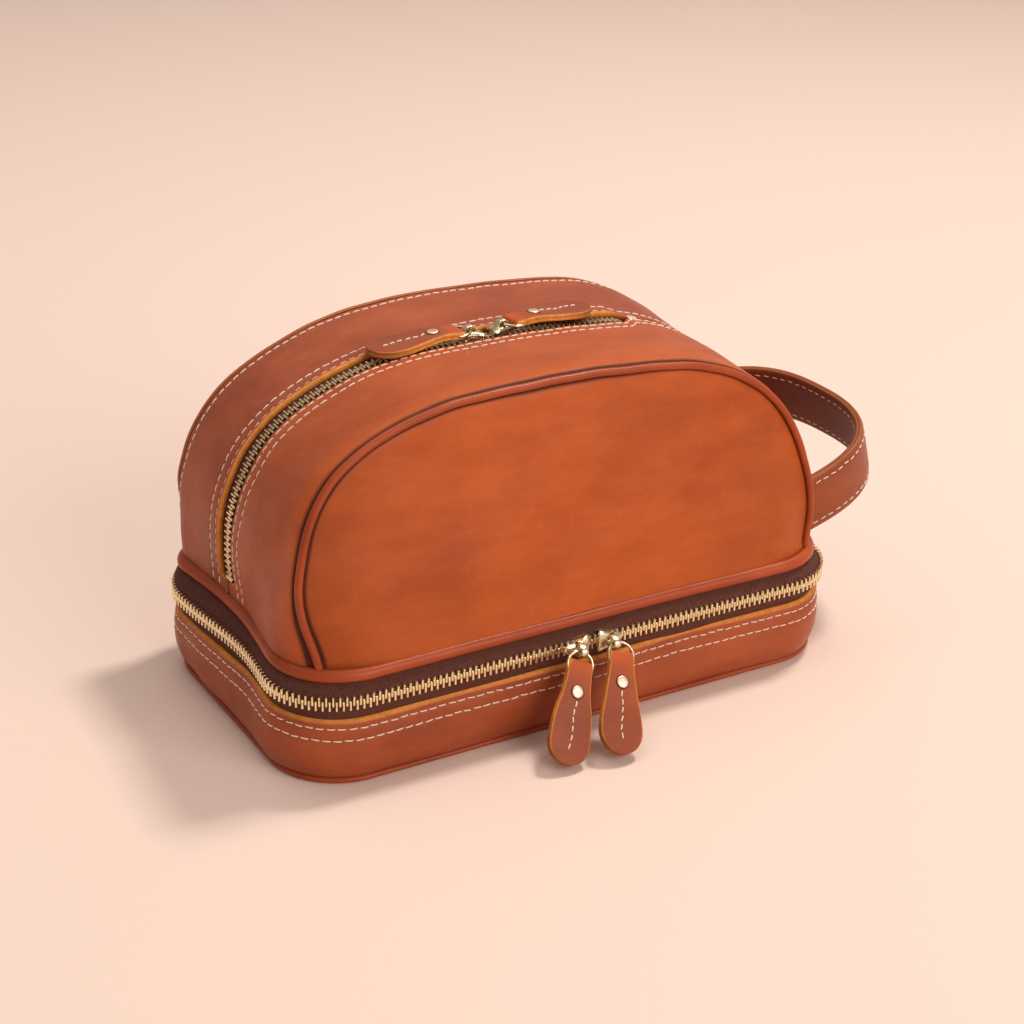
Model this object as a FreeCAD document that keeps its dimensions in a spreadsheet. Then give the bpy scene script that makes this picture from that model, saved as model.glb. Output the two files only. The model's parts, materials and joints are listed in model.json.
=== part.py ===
import FreeCAD, Part
import math
import os

import Sketcher
from FreeCAD import Placement, Rotation, Vector

# A leather wash bag: a shallow zip-round base tray, a domed upper case hinged to it along
# the rear edge, a zip over the dome, a side strap and four zip pulls. Millimetres. X runs
# along the length, -Y is the front, Z is up, and the origin is on the underside, at its middle.

doc = FreeCAD.newDocument("wash_bag")

PARAMETERS = [
    ("tray_half_length", 127.0),
    ("tray_half_depth", 67.0),
    ("tray_corner", 31.0),
    ("leather", 2.0),
    ("base_welt_size", 3.4),
    ("panel_gap", 3.5),
    ("board_inset", 4.0),
    ("board_height", 1.2),
    ("band_top", 27.2),
    ("lining", 0.6),
    ("lining_inset", 3.0),
    ("lining_top", 26.0),
    ("tape", 0.8),
    ("tape_inset", 2.1),
    ("tape_foot", 19.0),
    ("tape_bend", 27.4),
    ("zip_outset", 1.4),
    ("zip_height", 35.8),
    ("teeth_gap", 0.5),
    ("teeth_reach", 3.0),
    ("teeth_half_thickness", 1.1),
    ("seam_clearance", 0.1),
    ("cut_margin", 1.0),
    ("welt_rounding", 0.45),
    ("tape_end", 95.0),
    ("teeth_end", 112.0),
    ("rear_cut_start", 45.0),
    ("stop_size", 2.4),
    ("case_foot", 42.1),
    ("body_welt_size", 4.2),
    ("case_base", 46.4),
    ("front_lift", 0.5),
    ("case_floor_drop", 5.0),
    ("divider_lift", 0.9),
    ("front_half_width", 120.5),
    ("front_height", 91.5),
    ("front_shoulder", 62.0),
    ("rear_half_width", 126.5),
    ("rear_height", 91.2),
    ("rear_shoulder", 75.0),
    ("crown", 440.0),
    ("front_plane", 58.0),
    ("front_lean", 8.4),
    ("piping", 4.0),
    ("piping_proud", 1.0),
    ("piping_rounding", 0.35),
    ("rear_plane", 64.0),
    ("slit_middle", 14.0),
    ("slit_half_width", 4.5),
    ("slit_end", 74.0),
    ("top_tape_inset", 2.9),
    ("top_tape_half_width", 8.5),
    ("case_lining_inset", 8.2),
    ("case_lining_front", 41.0),
    ("strip_half_length", 94.5),
    ("strip_start", 0.2),
    ("strip_thickness", 1.8),
    ("strip_low", 17.0),
    ("strip_gap", 1.2),
    ("strip_high", 53.0),
    ("strap_width", 24.0),
    ("strap_layer", 1.6),
    ("strap_rise", 15.6),
    ("strap_height", 60.0),
    ("strap_root", 121.0),
    ("strap_clear", 130.0),
    ("strap_reach", 50.5),
    ("strap_front", 44.0),
    ("strap_back", 64.0),
    ("strap_bend", 36.0),
    ("slider_length", 10.4),
    ("slider_half_width", 3.6),
    ("slider_plate", 0.8),
    ("slider_room", 0.2),
    ("wedge_length", 3.0),
    ("wedge_width", 0.6),
    ("bail_width", 1.4),
    ("bail_wall", 0.9),
    ("bail_half_span", 2.7),
    ("bail_height", 4.3),
    ("ring_radius", 5.4),
    ("ring_wire", 0.6),
    ("wire_height", 3.3),
    ("tab_length", 39.5),
    ("tab_fold", 0.85),
    ("tab_thickness", 3.4),
    ("tab_neck", 4.4),
    ("tab_round", 9.0),
    ("tab_pocket", 1.5),
    ("tab_pocket_depth", 7.0),
    ("rivet_place", 11.0),
    ("rivet_shank", 1.2),
    ("rivet_cap", 2.5),
    ("rivet_cap_height", 0.8),
    ("low_left_place", 9.0),
    ("low_right_place", 6.0),
    ("low_left_lean", 34.1),
    ("low_left_sway", 27.8),
    ("low_left_turn", 0.0),
    ("low_right_lean", 40.2),
    ("low_right_sway", 21.6),
    ("low_right_turn", 30.0),
    ("top_left_place", 11.5),
    ("top_right_place", 3.5),
    ("top_lie", 2.4),
]

sheet = doc.addObject("Spreadsheet::Sheet", "sheet")
for row, (alias, value) in enumerate(PARAMETERS, start=1):
    sheet.set(f"A{row}", alias)
    sheet.set(f"B{row}", str(value))
    sheet.setAlias(f"B{row}", alias)
doc.recompute()
size = {alias: float(value) for alias, value in PARAMETERS}
parts = []

ORIGIN = (-1, 1)
START, END, CENTRE = 1, 2, 3
XY, XZ, YZ = "XY_Plane", "XZ_Plane", "YZ_Plane"


def cells(text):
    """An expression in which every parameter's name is read from the sheet."""
    for alias in sorted(size, key=len, reverse=True):
        text = text.replace(f"<{alias}>", f"sheet.{alias}")
    return text


def value_of(text):
    """The number that an expression of parameters comes to, for a sketch's first guess."""
    words = text.replace("<", " ").replace(">", " ").replace("(", " ( ").replace(")", " ) ")
    for sign in "+-*/":
        words = words.replace(sign, f" {sign} ")
    terms = [str(size[word]) if word in size else word for word in words.split()]
    return float(FreeCAD.Units.Quantity("".join(terms)))


def new_body(name):
    body = doc.addObject("PartDesign::Body", name)
    body.Label = name
    parts.append(body)
    return body


def new_sketch(body, name, plane, offset="0", rise="0", lean=None):
    """A sketch on one of the body's own planes, moved along its normal and up in it."""
    sketch = body.newObject("Sketcher::SketchObject", f"{body.Name}_{name}")
    sketch.AttachmentSupport = [(role_plane(body, plane), "")]
    sketch.MapMode = "FlatFace"
    sketch.setExpression("AttachmentOffset.Base.z", cells(offset))
    sketch.setExpression("AttachmentOffset.Base.y", cells(rise))
    if lean:
        sketch.AttachmentOffset = Placement(Vector(), Rotation(Vector(-1, 0, 0), 1))
        sketch.setExpression("AttachmentOffset.Rotation.Angle", cells(lean))
    return sketch


def role_plane(body, role):
    return next(item for item in body.Origin.OriginFeatures if item.Role == role)


def bind(sketch, kind, expression, *geometry, guess=None):
    """A dimension of the sketch, bound to the sheet, with the value it is first drawn at."""
    first = value_of(expression) if guess is None else guess
    index = sketch.addConstraint(Sketcher.Constraint(kind, *geometry, first))
    sketch.setExpression(f"Constraints[{index}]", cells(expression))


def tangent(sketch, *pairs):
    for first, first_end, second, second_end in pairs:
        sketch.addConstraint(Sketcher.Constraint("Tangent", first, first_end, second, second_end))


def line(sketch, x1, y1, x2, y2):
    return sketch.addGeometry(Part.LineSegment(Vector(x1, y1), Vector(x2, y2)), False)


def arc(sketch, x, y, radius, start, end):
    """An arc from one angle to another, anticlockwise, in degrees."""
    circle = Part.Circle(Vector(x, y), Vector(0, 0, 1), radius)
    angles = (math.radians(start), math.radians(end))
    return sketch.addGeometry(Part.ArcOfCircle(circle, *angles), False)


def tray_outline(sketch, inset):
    """A rounded rectangle that lies inside the tray's outline by inset."""
    a = value_of(f"<tray_half_length>-({inset})")
    b = value_of(f"<tray_half_depth>-({inset})")
    r = value_of(f"<tray_corner>-({inset})")
    front = line(sketch, -a + r, -b, a - r, -b)
    right = line(sketch, a, -b + r, a, b - r)
    back = line(sketch, a - r, b, -a + r, b)
    left = line(sketch, -a, b - r, -a, -b + r)
    corners = [
        arc(sketch, a - r, -b + r, r, 270, 360),
        arc(sketch, a - r, b - r, r, 0, 90),
        arc(sketch, -a + r, b - r, r, 90, 180),
        arc(sketch, -a + r, -b + r, r, 180, 270),
    ]
    sides = [front, right, back, left]
    for number, corner in enumerate(corners):
        after = sides[(number + 1) % 4]
        tangent(sketch, (sides[number], END, corner, START), (corner, END, after, START))
    for side, direction in zip(sides, ("Horizontal", "Vertical") * 2):
        sketch.addConstraint(Sketcher.Constraint(direction, side))
    for corner in corners[1:]:
        sketch.addConstraint(Sketcher.Constraint("Equal", corners[0], corner))
    bind(sketch, "Radius", f"<tray_corner>-({inset})", corners[0])
    bind(sketch, "DistanceY", f"0-<tray_half_depth>+({inset})", *ORIGIN, front, START)
    bind(sketch, "DistanceX", f"<tray_half_length>-({inset})", *ORIGIN, right, START)
    bind(sketch, "DistanceY", f"<tray_half_depth>-({inset})", *ORIGIN, back, START)
    bind(sketch, "DistanceX", f"0-<tray_half_length>+({inset})", *ORIGIN, left, START)


def dome_outline(sketch, which, inset="0", drop="0"):
    """The dome's outline, made of a crown, two shoulders, two upright sides and a flat foot."""
    w = value_of(f"<{which}_half_width>-({inset})")
    crown = value_of(f"<crown>-({inset})")
    r = value_of(f"<{which}_shoulder>-({inset})")
    low = -value_of(drop)
    crown_y = value_of(f"<{which}_height>-<crown>")
    shoulder_y = crown_y + math.sqrt((crown - r) ** 2 - (w - r) ** 2)
    turn = math.degrees(math.atan2(shoulder_y - crown_y, w - r))
    foot = line(sketch, -w, low, w, low)
    right = line(sketch, w, low, w, shoulder_y)
    right_shoulder = arc(sketch, w - r, shoulder_y, r, 0, turn)
    top = arc(sketch, 0, crown_y, crown, turn, 180 - turn)
    left_shoulder = arc(sketch, r - w, shoulder_y, r, 180 - turn, 180)
    left = line(sketch, -w, shoulder_y, -w, low)
    tangent(
        sketch,
        (right, END, right_shoulder, START),
        (right_shoulder, END, top, START),
        (top, END, left_shoulder, START),
        (left_shoulder, END, left, START),
    )
    sketch.addConstraint(Sketcher.Constraint("Coincident", left, END, foot, START))
    sketch.addConstraint(Sketcher.Constraint("Coincident", foot, END, right, START))
    sketch.addConstraint(Sketcher.Constraint("Horizontal", foot))
    sketch.addConstraint(Sketcher.Constraint("Vertical", right))
    sketch.addConstraint(Sketcher.Constraint("Vertical", left))
    sketch.addConstraint(Sketcher.Constraint("PointOnObject", top, CENTRE, -2))
    sketch.addConstraint(Sketcher.Constraint("Equal", right_shoulder, left_shoulder))
    bind(sketch, "Radius", f"<crown>-({inset})", top)
    bind(sketch, "Radius", f"<{which}_shoulder>-({inset})", right_shoulder)
    bind(sketch, "DistanceY", f"<{which}_height>-<crown>", *ORIGIN, top, CENTRE)
    bind(sketch, "DistanceY", f"0-({drop})", *ORIGIN, foot, START)
    bind(sketch, "DistanceX", f"<{which}_half_width>-({inset})", *ORIGIN, right, START)
    bind(sketch, "DistanceX", f"0-<{which}_half_width>+({inset})", *ORIGIN, left, END)


def box_outline(sketch, x1, x2, y1, y2):
    """A rectangle between four expressions."""
    a, b, c, d = (value_of(text) for text in (x1, x2, y1, y2))
    sides = [line(sketch, a, c, b, c), line(sketch, b, c, b, d)]
    sides += [line(sketch, b, d, a, d), line(sketch, a, d, a, c)]
    for number, side in enumerate(sides):
        after = sides[(number + 1) % 4]
        sketch.addConstraint(Sketcher.Constraint("Coincident", side, END, after, START))
        sketch.addConstraint(Sketcher.Constraint(("Horizontal", "Vertical")[number % 2], side))
    bind(sketch, "DistanceX", x1, *ORIGIN, sides[3], START)
    bind(sketch, "DistanceX", x2, *ORIGIN, sides[1], START)
    bind(sketch, "DistanceY", y1, *ORIGIN, sides[0], START)
    bind(sketch, "DistanceY", y2, *ORIGIN, sides[2], START)


def feature(body, kind, name, sketch, length=None, reverse=False, both=False):
    """A pad or pocket of one sketch; a pocket with no length goes right through."""
    item = body.newObject(f"PartDesign::{kind}", f"{body.Name}_{name}")
    item.Profile = sketch
    item.Reversed = reverse
    if length:
        item.setExpression("Length", cells(length))
    else:
        item.Type = "ThroughAll"
    item.Midplane = both
    sketch.Visibility = False
    return item


def loft(body, kind, name, first, second):
    item = body.newObject(f"PartDesign::{kind}Loft", f"{body.Name}_{name}")
    item.Profile = first
    item.Sections = [second]
    item.Ruled = True
    return item


def round_edges(body, radius):
    """Rounds every edge of the body so far."""
    doc.recompute()
    base = body.Tip
    names = [f"Edge{number + 1}" for number in range(len(base.Shape.Edges))]
    item = body.newObject("PartDesign::Fillet", f"{body.Name}_rounding")
    item.Base = (base, names)
    item.setExpression("Radius", cells(radius))


def tray_ring(name, outer, width, low, height):
    """A closed ring round the tray, between two outlines."""
    body = new_body(name)
    sketch = new_sketch(body, "rings", XY, low)
    tray_outline(sketch, outer)
    tray_outline(sketch, f"{outer}+{width}")
    feature(body, "Pad", "wall", sketch, height)
    return body


def cut_rear(body, half_length):
    """Opens a ring round the tray at the rear."""
    sketch = new_sketch(body, "rear", XY)
    box_outline(sketch, f"0-{half_length}", half_length, "<rear_cut_start>", "<tray_half_depth>*2")
    feature(body, "Pocket", "rear_gap", sketch, both=True)


def flared_ring(body, name, low_inset, low, high_inset, high):
    """A ring of tape whose foot and head lie on different outlines."""
    sections = []
    for step, extra in (("outer", "0"), ("inner", "<tape>")):
        pair = []
        for end, inset, place in (("foot", low_inset, low), ("head", high_inset, high)):
            sketch = new_sketch(body, f"{name}_{step}_{end}", XY, place)
            tray_outline(sketch, f"{inset}+{extra}")
            pair.append(sketch)
        sections.append(pair)
    loft(body, "Additive", f"{name}_outer", *sections[0])
    loft(body, "Subtractive", f"{name}_inner", *sections[1])


def base_floor():
    for name, inset, low, height in (
        ("base_panel", "<panel_gap>", "0", "<leather>"),
        ("base_stiffener", "<board_inset>", "<leather>", "<board_height>"),
    ):
        body = new_body(name)
        sketch = new_sketch(body, "outline", XY, low)
        tray_outline(sketch, inset)
        feature(body, "Pad", "plate", sketch, height)


def base_lining():
    floor = "<leather>+<board_height>"
    body = new_body("base_lining")
    outer = new_sketch(body, "outer", XY, floor)
    tray_outline(outer, "<lining_inset>+<lining>")
    feature(body, "Pad", "block", outer, f"<lining_top>-({floor})")
    inner = new_sketch(body, "inner", XY, "<lining_top>")
    tray_outline(inner, "<lining_inset>+<lining>*2")
    feature(body, "Pocket", "hollow", inner, f"<lining_top>-({floor})-<lining>")


def base_zip():
    """The zip round the tray: a tape and a strand of teeth on each side of its middle."""
    lower = new_body("base_zip_lower_tape")
    foot = new_sketch(lower, "foot", XY, "<tape_foot>")
    tray_outline(foot, "<tape_inset>")
    tray_outline(foot, "<tape_inset>+<tape>")
    feature(lower, "Pad", "sewn_edge", foot, "<tape_bend>-<tape_foot>")
    edge = "0-<zip_outset>-<tape>/2"
    reach = "<teeth_reach>+<seam_clearance>"
    head = f"<zip_height>-({reach})"
    flared_ring(lower, "flare", "<tape_inset>", "<tape_bend>", edge, head)
    cut_rear(lower, "<tape_end>")

    upper = new_body("base_zip_upper_tape")
    start = f"<zip_height>+{reach}"
    flared_ring(upper, "flare", edge, start, "<tape>/2", "<case_foot>-<seam_clearance>")
    cut_rear(upper, "<tape_end>")

    outer = "0-<zip_outset>-<teeth_half_thickness>"
    thickness = "<teeth_half_thickness>*2"
    height = "<teeth_reach>-<teeth_gap>"
    for side, low in (("lower", "<zip_height>-<teeth_reach>"), ("upper", "<zip_height>+<teeth_gap>")):
        teeth = tray_ring(f"base_zip_{side}_teeth", outer, thickness, low, height)
        cut_rear(teeth, "<teeth_end>")


def base_stops():
    """A metal stop at each end of each strand of teeth, just past the last tooth."""
    corner = size["tray_corner"] + size["zip_outset"]
    centre_x = size["tray_half_length"] - size["tray_corner"]
    centre_y = size["tray_half_depth"] - size["tray_corner"]
    gap = size["stop_size"]
    turn = math.acos((size["teeth_end"] - centre_x) / corner) + gap / corner
    for side, low in (("lower", "<zip_height>-<teeth_reach>"), ("upper", "<zip_height>+<teeth_gap>")):
        pair = []
        for hand in (-1, 1):
            stop = doc.addObject("Part::Box", f"stop_{side}_{'left' if hand < 0 else 'right'}")
            for edge in ("Length", "Width"):
                stop.setExpression(edge, "sheet.stop_size")
            stop.setExpression("Height", cells("<teeth_reach>-<teeth_gap>"))
            turned = Rotation(Vector(0, 0, 1), math.degrees(hand * turn))
            middle = turned.multVec(Vector(-gap / 2, -gap / 2, 0))
            x = hand * (centre_x + corner * math.cos(turn))
            y = centre_y + corner * math.sin(turn)
            stop.Placement = Placement(Vector(x, y, 0) + middle, turned)
            stop.setExpression("Placement.Base.z", cells(low))
            pair.append(stop)
        group = doc.addObject("Part::Compound", f"base_zip_{side}_stops")
        group.Links = pair
        group.Label = group.Name
        parts.append(group)


def hinge_strip():
    """The leather strip at the rear, parted at its fold."""
    for name, low, high in (
        ("hinge_strip_lower", "<strip_low>", "<zip_height>-<strip_gap>"),
        ("hinge_strip_upper", "<zip_height>+<strip_gap>", "<strip_high>"),
    ):
        body = new_body(name)
        sketch = new_sketch(body, "outline", XZ, "0-<tray_half_depth>-<strip_start>")
        box_outline(sketch, "0-<strip_half_length>", "<strip_half_length>", low, high)
        feature(body, "Pad", "strip", sketch, "<strip_thickness>", reverse=True)


def case_floor():
    body = new_body("divider_floor")
    sketch = new_sketch(body, "outline", XY, "<case_foot>+<divider_lift>")
    tray_outline(sketch, "<body_welt_size>+<seam_clearance>")
    feature(body, "Pad", "plate", sketch, "<leather>")


def front_sketch(body, name, behind, inset="0", drop="0"):
    """A dome outline in the front's leaning plane, some way behind it."""
    place = f"<front_plane>-({behind})"
    sketch = new_sketch(body, name, XZ, place, "<case_base>+<front_lift>", "<front_lean>")
    dome_outline(sketch, "front", inset, drop)
    return sketch


def rear_sketch(body, name, place, inset="0", drop="0"):
    """A dome outline in the upright plane at y = place."""
    sketch = new_sketch(body, name, XZ, f"0-({place})", "<case_base>")
    dome_outline(sketch, "rear", inset, drop)
    return sketch


def case_panels():
    panel = new_body("front_panel")
    outline = front_sketch(panel, "outline", "0", "<piping>+<seam_clearance>*4")
    feature(panel, "Pad", "plate", outline, "<leather>", reverse=True)

    piping = new_body("front_piping")
    outer = front_sketch(piping, "outer", "0-<piping_proud>")
    feature(piping, "Pad", "outer", outer, "<piping>", reverse=True)
    ahead = "0-<piping_proud>-<cut_margin>"
    inner = front_sketch(piping, "inner", ahead, "<piping>", "<case_floor_drop>")
    feature(piping, "Pocket", "inner", inner, "<piping>*2")
    round_edges(piping, "<piping>*<piping_rounding>")

    rear = new_body("rear_panel")
    outline = rear_sketch(rear, "outline", "<rear_plane>+<seam_clearance>")
    feature(rear, "Pad", "plate", outline, "<leather>", reverse=True)


def cut_slit(body, half_width="<slit_half_width>"):
    """The opening for the zip, from the left end over the crown to the right shoulder."""
    sketch = new_sketch(body, "slit", XY, "<case_base>-<cut_margin>")
    near = f"<slit_middle>-{half_width}"
    far = f"<slit_middle>+{half_width}"
    box_outline(sketch, "0-<rear_half_width>*2", "<slit_end>", near, far)
    feature(body, "Pocket", "slit", sketch, reverse=True)


def case_gussets():
    front = new_body("front_gusset")
    behind = "<piping>-<piping_proud>+<seam_clearance>"
    drop = "<case_floor_drop>"
    joint = "<slit_middle>-<seam_clearance>/2"
    near = front_sketch(front, "near", behind)
    loft(front, "Additive", "skin", near, rear_sketch(front, "far", joint))
    near_inner = front_sketch(front, "near_inner", behind, "<leather>", drop)
    far_inner = rear_sketch(front, "far_inner", joint, "<leather>", drop)
    loft(front, "Subtractive", "hollow", near_inner, far_inner)
    cut_slit(front)

    rear = new_body("rear_gusset")
    start = "<slit_middle>+<seam_clearance>/2"
    outline = rear_sketch(rear, "outline", start)
    feature(rear, "Pad", "skin", outline, f"<rear_plane>-({start})", reverse=True)
    inner = rear_sketch(rear, "inner", f"{start}-<cut_margin>", "<leather>", drop)
    feature(rear, "Pocket", "hollow", inner, "<rear_plane>")
    cut_slit(rear)


def dome_band(name, inset, thickness, near, far):
    """A strip that follows the dome under its skin, from the left foot to the slit's end."""
    body = new_body(name)
    drop = "<case_floor_drop>"
    outer = rear_sketch(body, "outer", near, inset)
    feature(body, "Pad", "band", outer, f"({far})-({near})", reverse=True)
    inner = rear_sketch(body, "inner", f"({near})-<cut_margin>", f"{inset}+{thickness}", drop)
    feature(body, "Pocket", "hollow", inner, "<top_tape_half_width>*2")
    end = new_sketch(body, "end", XY, "<case_base>-<cut_margin>")
    box_outline(end, "<slit_end>-<leather>", "<rear_half_width>*2", "0-<rear_plane>", "<rear_plane>")
    feature(body, "Pocket", "end", end, reverse=True)


def top_zip():
    tape = "<top_tape_half_width>"
    reach = "<teeth_reach>"
    gap = "<teeth_gap>"
    middle = "<slit_middle>"
    clear = "<seam_clearance>"
    inset = "<top_tape_inset>"
    teeth_inset = f"{inset}+<tape>/2-<teeth_half_thickness>"
    thickness = "<teeth_half_thickness>*2"
    dome_band("top_zip_front_tape", inset, "<tape>", f"{middle}-{tape}", f"{middle}-{reach}-{clear}")
    dome_band("top_zip_rear_tape", inset, "<tape>", f"{middle}+{reach}+{clear}", f"{middle}+{tape}")
    dome_band("top_zip_front_teeth", teeth_inset, thickness, f"{middle}-{reach}", f"{middle}-{gap}")
    dome_band("top_zip_rear_teeth", teeth_inset, thickness, f"{middle}+{gap}", f"{middle}+{reach}")


def case_lining():
    """The cloth inside the upper case: a thin closed bag with a slit under the zip."""
    body = new_body("case_lining")
    inset = "<case_lining_inset>"
    outer = rear_sketch(body, "outer", "0-<case_lining_front>", inset)
    depth = "<case_lining_front>+<rear_plane>-<cut_margin>"
    feature(body, "Pad", "block", outer, depth, reverse=True)
    wall = f"{inset}+<lining>"
    inner = rear_sketch(body, "inner", "0-<case_lining_front>+<lining>", wall, "0-<lining>")
    inner_end = rear_sketch(body, "inner_end", "<rear_plane>-<cut_margin>-<lining>", wall, "0-<lining>")
    loft(body, "Subtractive", "hollow", inner, inner_end)
    cut_slit(body, "<slit_half_width>+<cut_margin>")


def handle_layer(name, near, far):
    """One leather layer of the side strap: a flat loop whose plane rises away from the bag."""
    body = new_body(name)
    sketch = new_sketch(body, "loop", XY, "0-<strap_width>/2")
    reach, front, back, bend = (size[key] for key in
                                ("strap_reach", "strap_front", "strap_back", "strap_bend"))
    edges = []
    for inset in (near, far):
        i = value_of(inset)
        x, y1, y2, r = reach - i, -front + i, back - i, bend - i
        leg = line(sketch, 0, y1, x - r, y1)
        first = arc(sketch, x - r, y1 + r, r, 270, 360)
        outside = line(sketch, x, y1 + r, x, y2 - r)
        second = arc(sketch, x - r, y2 - r, r, 0, 90)
        rear_leg = line(sketch, x - r, y2, 0, y2)
        tangent(sketch, (leg, END, first, START), (first, END, outside, START),
                (outside, END, second, START), (second, END, rear_leg, START))
        for side, direction in ((leg, "Horizontal"), (outside, "Vertical"), (rear_leg, "Horizontal")):
            sketch.addConstraint(Sketcher.Constraint(direction, side))
        sketch.addConstraint(Sketcher.Constraint("Equal", first, second))
        bind(sketch, "Radius", f"<strap_bend>-({inset})", first)
        bind(sketch, "DistanceX", f"<strap_reach>-({inset})", *ORIGIN, outside, START)
        bind(sketch, "DistanceY", f"0-<strap_front>+({inset})", *ORIGIN, leg, START)
        bind(sketch, "DistanceY", f"<strap_back>-({inset})", *ORIGIN, rear_leg, END)
        bind(sketch, "DistanceX", "0", *ORIGIN, leg, START)
        bind(sketch, "DistanceX", "0", *ORIGIN, rear_leg, END)
        edges.append((leg, rear_leg))
    for side, point, place in ((0, START, -front), (1, END, back)):
        outer_leg, inner_leg = edges[0][side], edges[1][side]
        inward = math.copysign(1, -place)
        y_outer = place + inward * value_of(near)
        y_inner = place + inward * value_of(far)
        cap = line(sketch, 0, y_outer, 0, y_inner)
        sketch.addConstraint(Sketcher.Constraint("Coincident", cap, START, outer_leg, point))
        sketch.addConstraint(Sketcher.Constraint("Coincident", cap, END, inner_leg, point))
    feature(body, "Pad", "strap", sketch, "<strap_width>")
    trim = new_sketch(body, "trim", XZ)
    wide = size["strap_width"]
    low = line(trim, -wide, -wide, 0, -wide)
    slant = line(trim, 0, -wide, 0, wide)
    high = line(trim, 0, wide, -wide, wide)
    back_edge = line(trim, -wide, wide, -wide, -wide)
    chain = [low, slant, high, back_edge]
    for number, edge in enumerate(chain):
        after = chain[(number + 1) % 4]
        trim.addConstraint(Sketcher.Constraint("Coincident", edge, END, after, START))
    for edge in (low, high):
        trim.addConstraint(Sketcher.Constraint("Horizontal", edge))
    trim.addConstraint(Sketcher.Constraint("Vertical", back_edge))
    bind(trim, "DistanceY", "0-<strap_width>", *ORIGIN, low, START)
    bind(trim, "DistanceY", "<strap_width>", *ORIGIN, high, START)
    bind(trim, "DistanceX", "0-<strap_width>", *ORIGIN, back_edge, START)
    root = "(<strap_clear>-<strap_root>)/cos(<strap_rise>)"
    for point, sign in ((START, "-"), (END, "+")):
        where = f"{root}{sign}tan(<strap_rise>)*<strap_width>"
        bind(trim, "DistanceX", where, *ORIGIN, slant, point, guess=0.0)
    feature(body, "Pocket", "root_trim", trim, both=True)
    body.Placement = Placement(Vector(), Rotation(Vector(0, -1, 0), 1))
    body.setExpression("Placement.Base.x", "sheet.strap_root")
    body.setExpression("Placement.Base.z", "sheet.strap_height")
    body.setExpression("Placement.Rotation.Angle", "sheet.strap_rise")


def bound_box(name, corner, edges):
    """A block between bound numbers: its low corner and its three edges."""
    block = doc.addObject("Part::Box", name)
    for edge, text in zip(("Length", "Width", "Height"), edges):
        block.setExpression(edge, cells(text))
    for axis, text in zip("xyz", corner):
        block.setExpression(f"Placement.Base.{axis}", cells(text))
    return block


def slider(name, placement, across):
    """A zip slider about the chain's middle: local X along the zip, Y across it, Z outward.

    The bail is a small arch over the outer plate. It spans the zip when across is true,
    and runs along it when across is false.
    """
    half = "<slider_half_width>"
    half_chain = "(<teeth_half_thickness>+<slider_room>)"
    top = f"({half_chain}+<slider_plate>)"
    length = "<slider_length>"
    start = "0-<slider_length>/2"
    plate = (length, f"{half}*2", "<slider_plate>")
    pieces = [
        bound_box(f"{name}_outer", (start, f"0-{half}", half_chain), plate),
        bound_box(f"{name}_inner", (start, f"0-{half}", f"0-{top}"), plate),
        bound_box(
            f"{name}_wedge",
            ("0-<wedge_length>/2", "0-<wedge_width>/2", f"0-{half_chain}"),
            ("<wedge_length>", "<wedge_width>", f"{half_chain}*2"),
        ),
    ]
    far = "<bail_half_span>-<bail_wall>"
    side = "0-<bail_width>/2"
    for part_name, place in (("low_leg", "0-<bail_half_span>"), ("high_leg", far)):
        corner = (side, place, top) if across else (place, side, top)
        edges = ("<bail_width>", "<bail_wall>") if across else ("<bail_wall>", "<bail_width>")
        pieces.append(bound_box(f"{name}_{part_name}", corner, (*edges, "<bail_height>")))
    span = "0-<bail_half_span>"
    corner = (side, span) if across else (span, side)
    edges = ("<bail_width>", "<bail_half_span>*2") if across else ("<bail_half_span>*2", "<bail_width>")
    height = f"{top}+<bail_height>"
    pieces.append(bound_box(f"{name}_bar", (*corner, height), (*edges, "<bail_wall>")))
    body = doc.addObject("Part::MultiFuse", name)
    body.Shapes = pieces
    body.Label = name
    body.Placement = placement
    parts.append(body)


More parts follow.
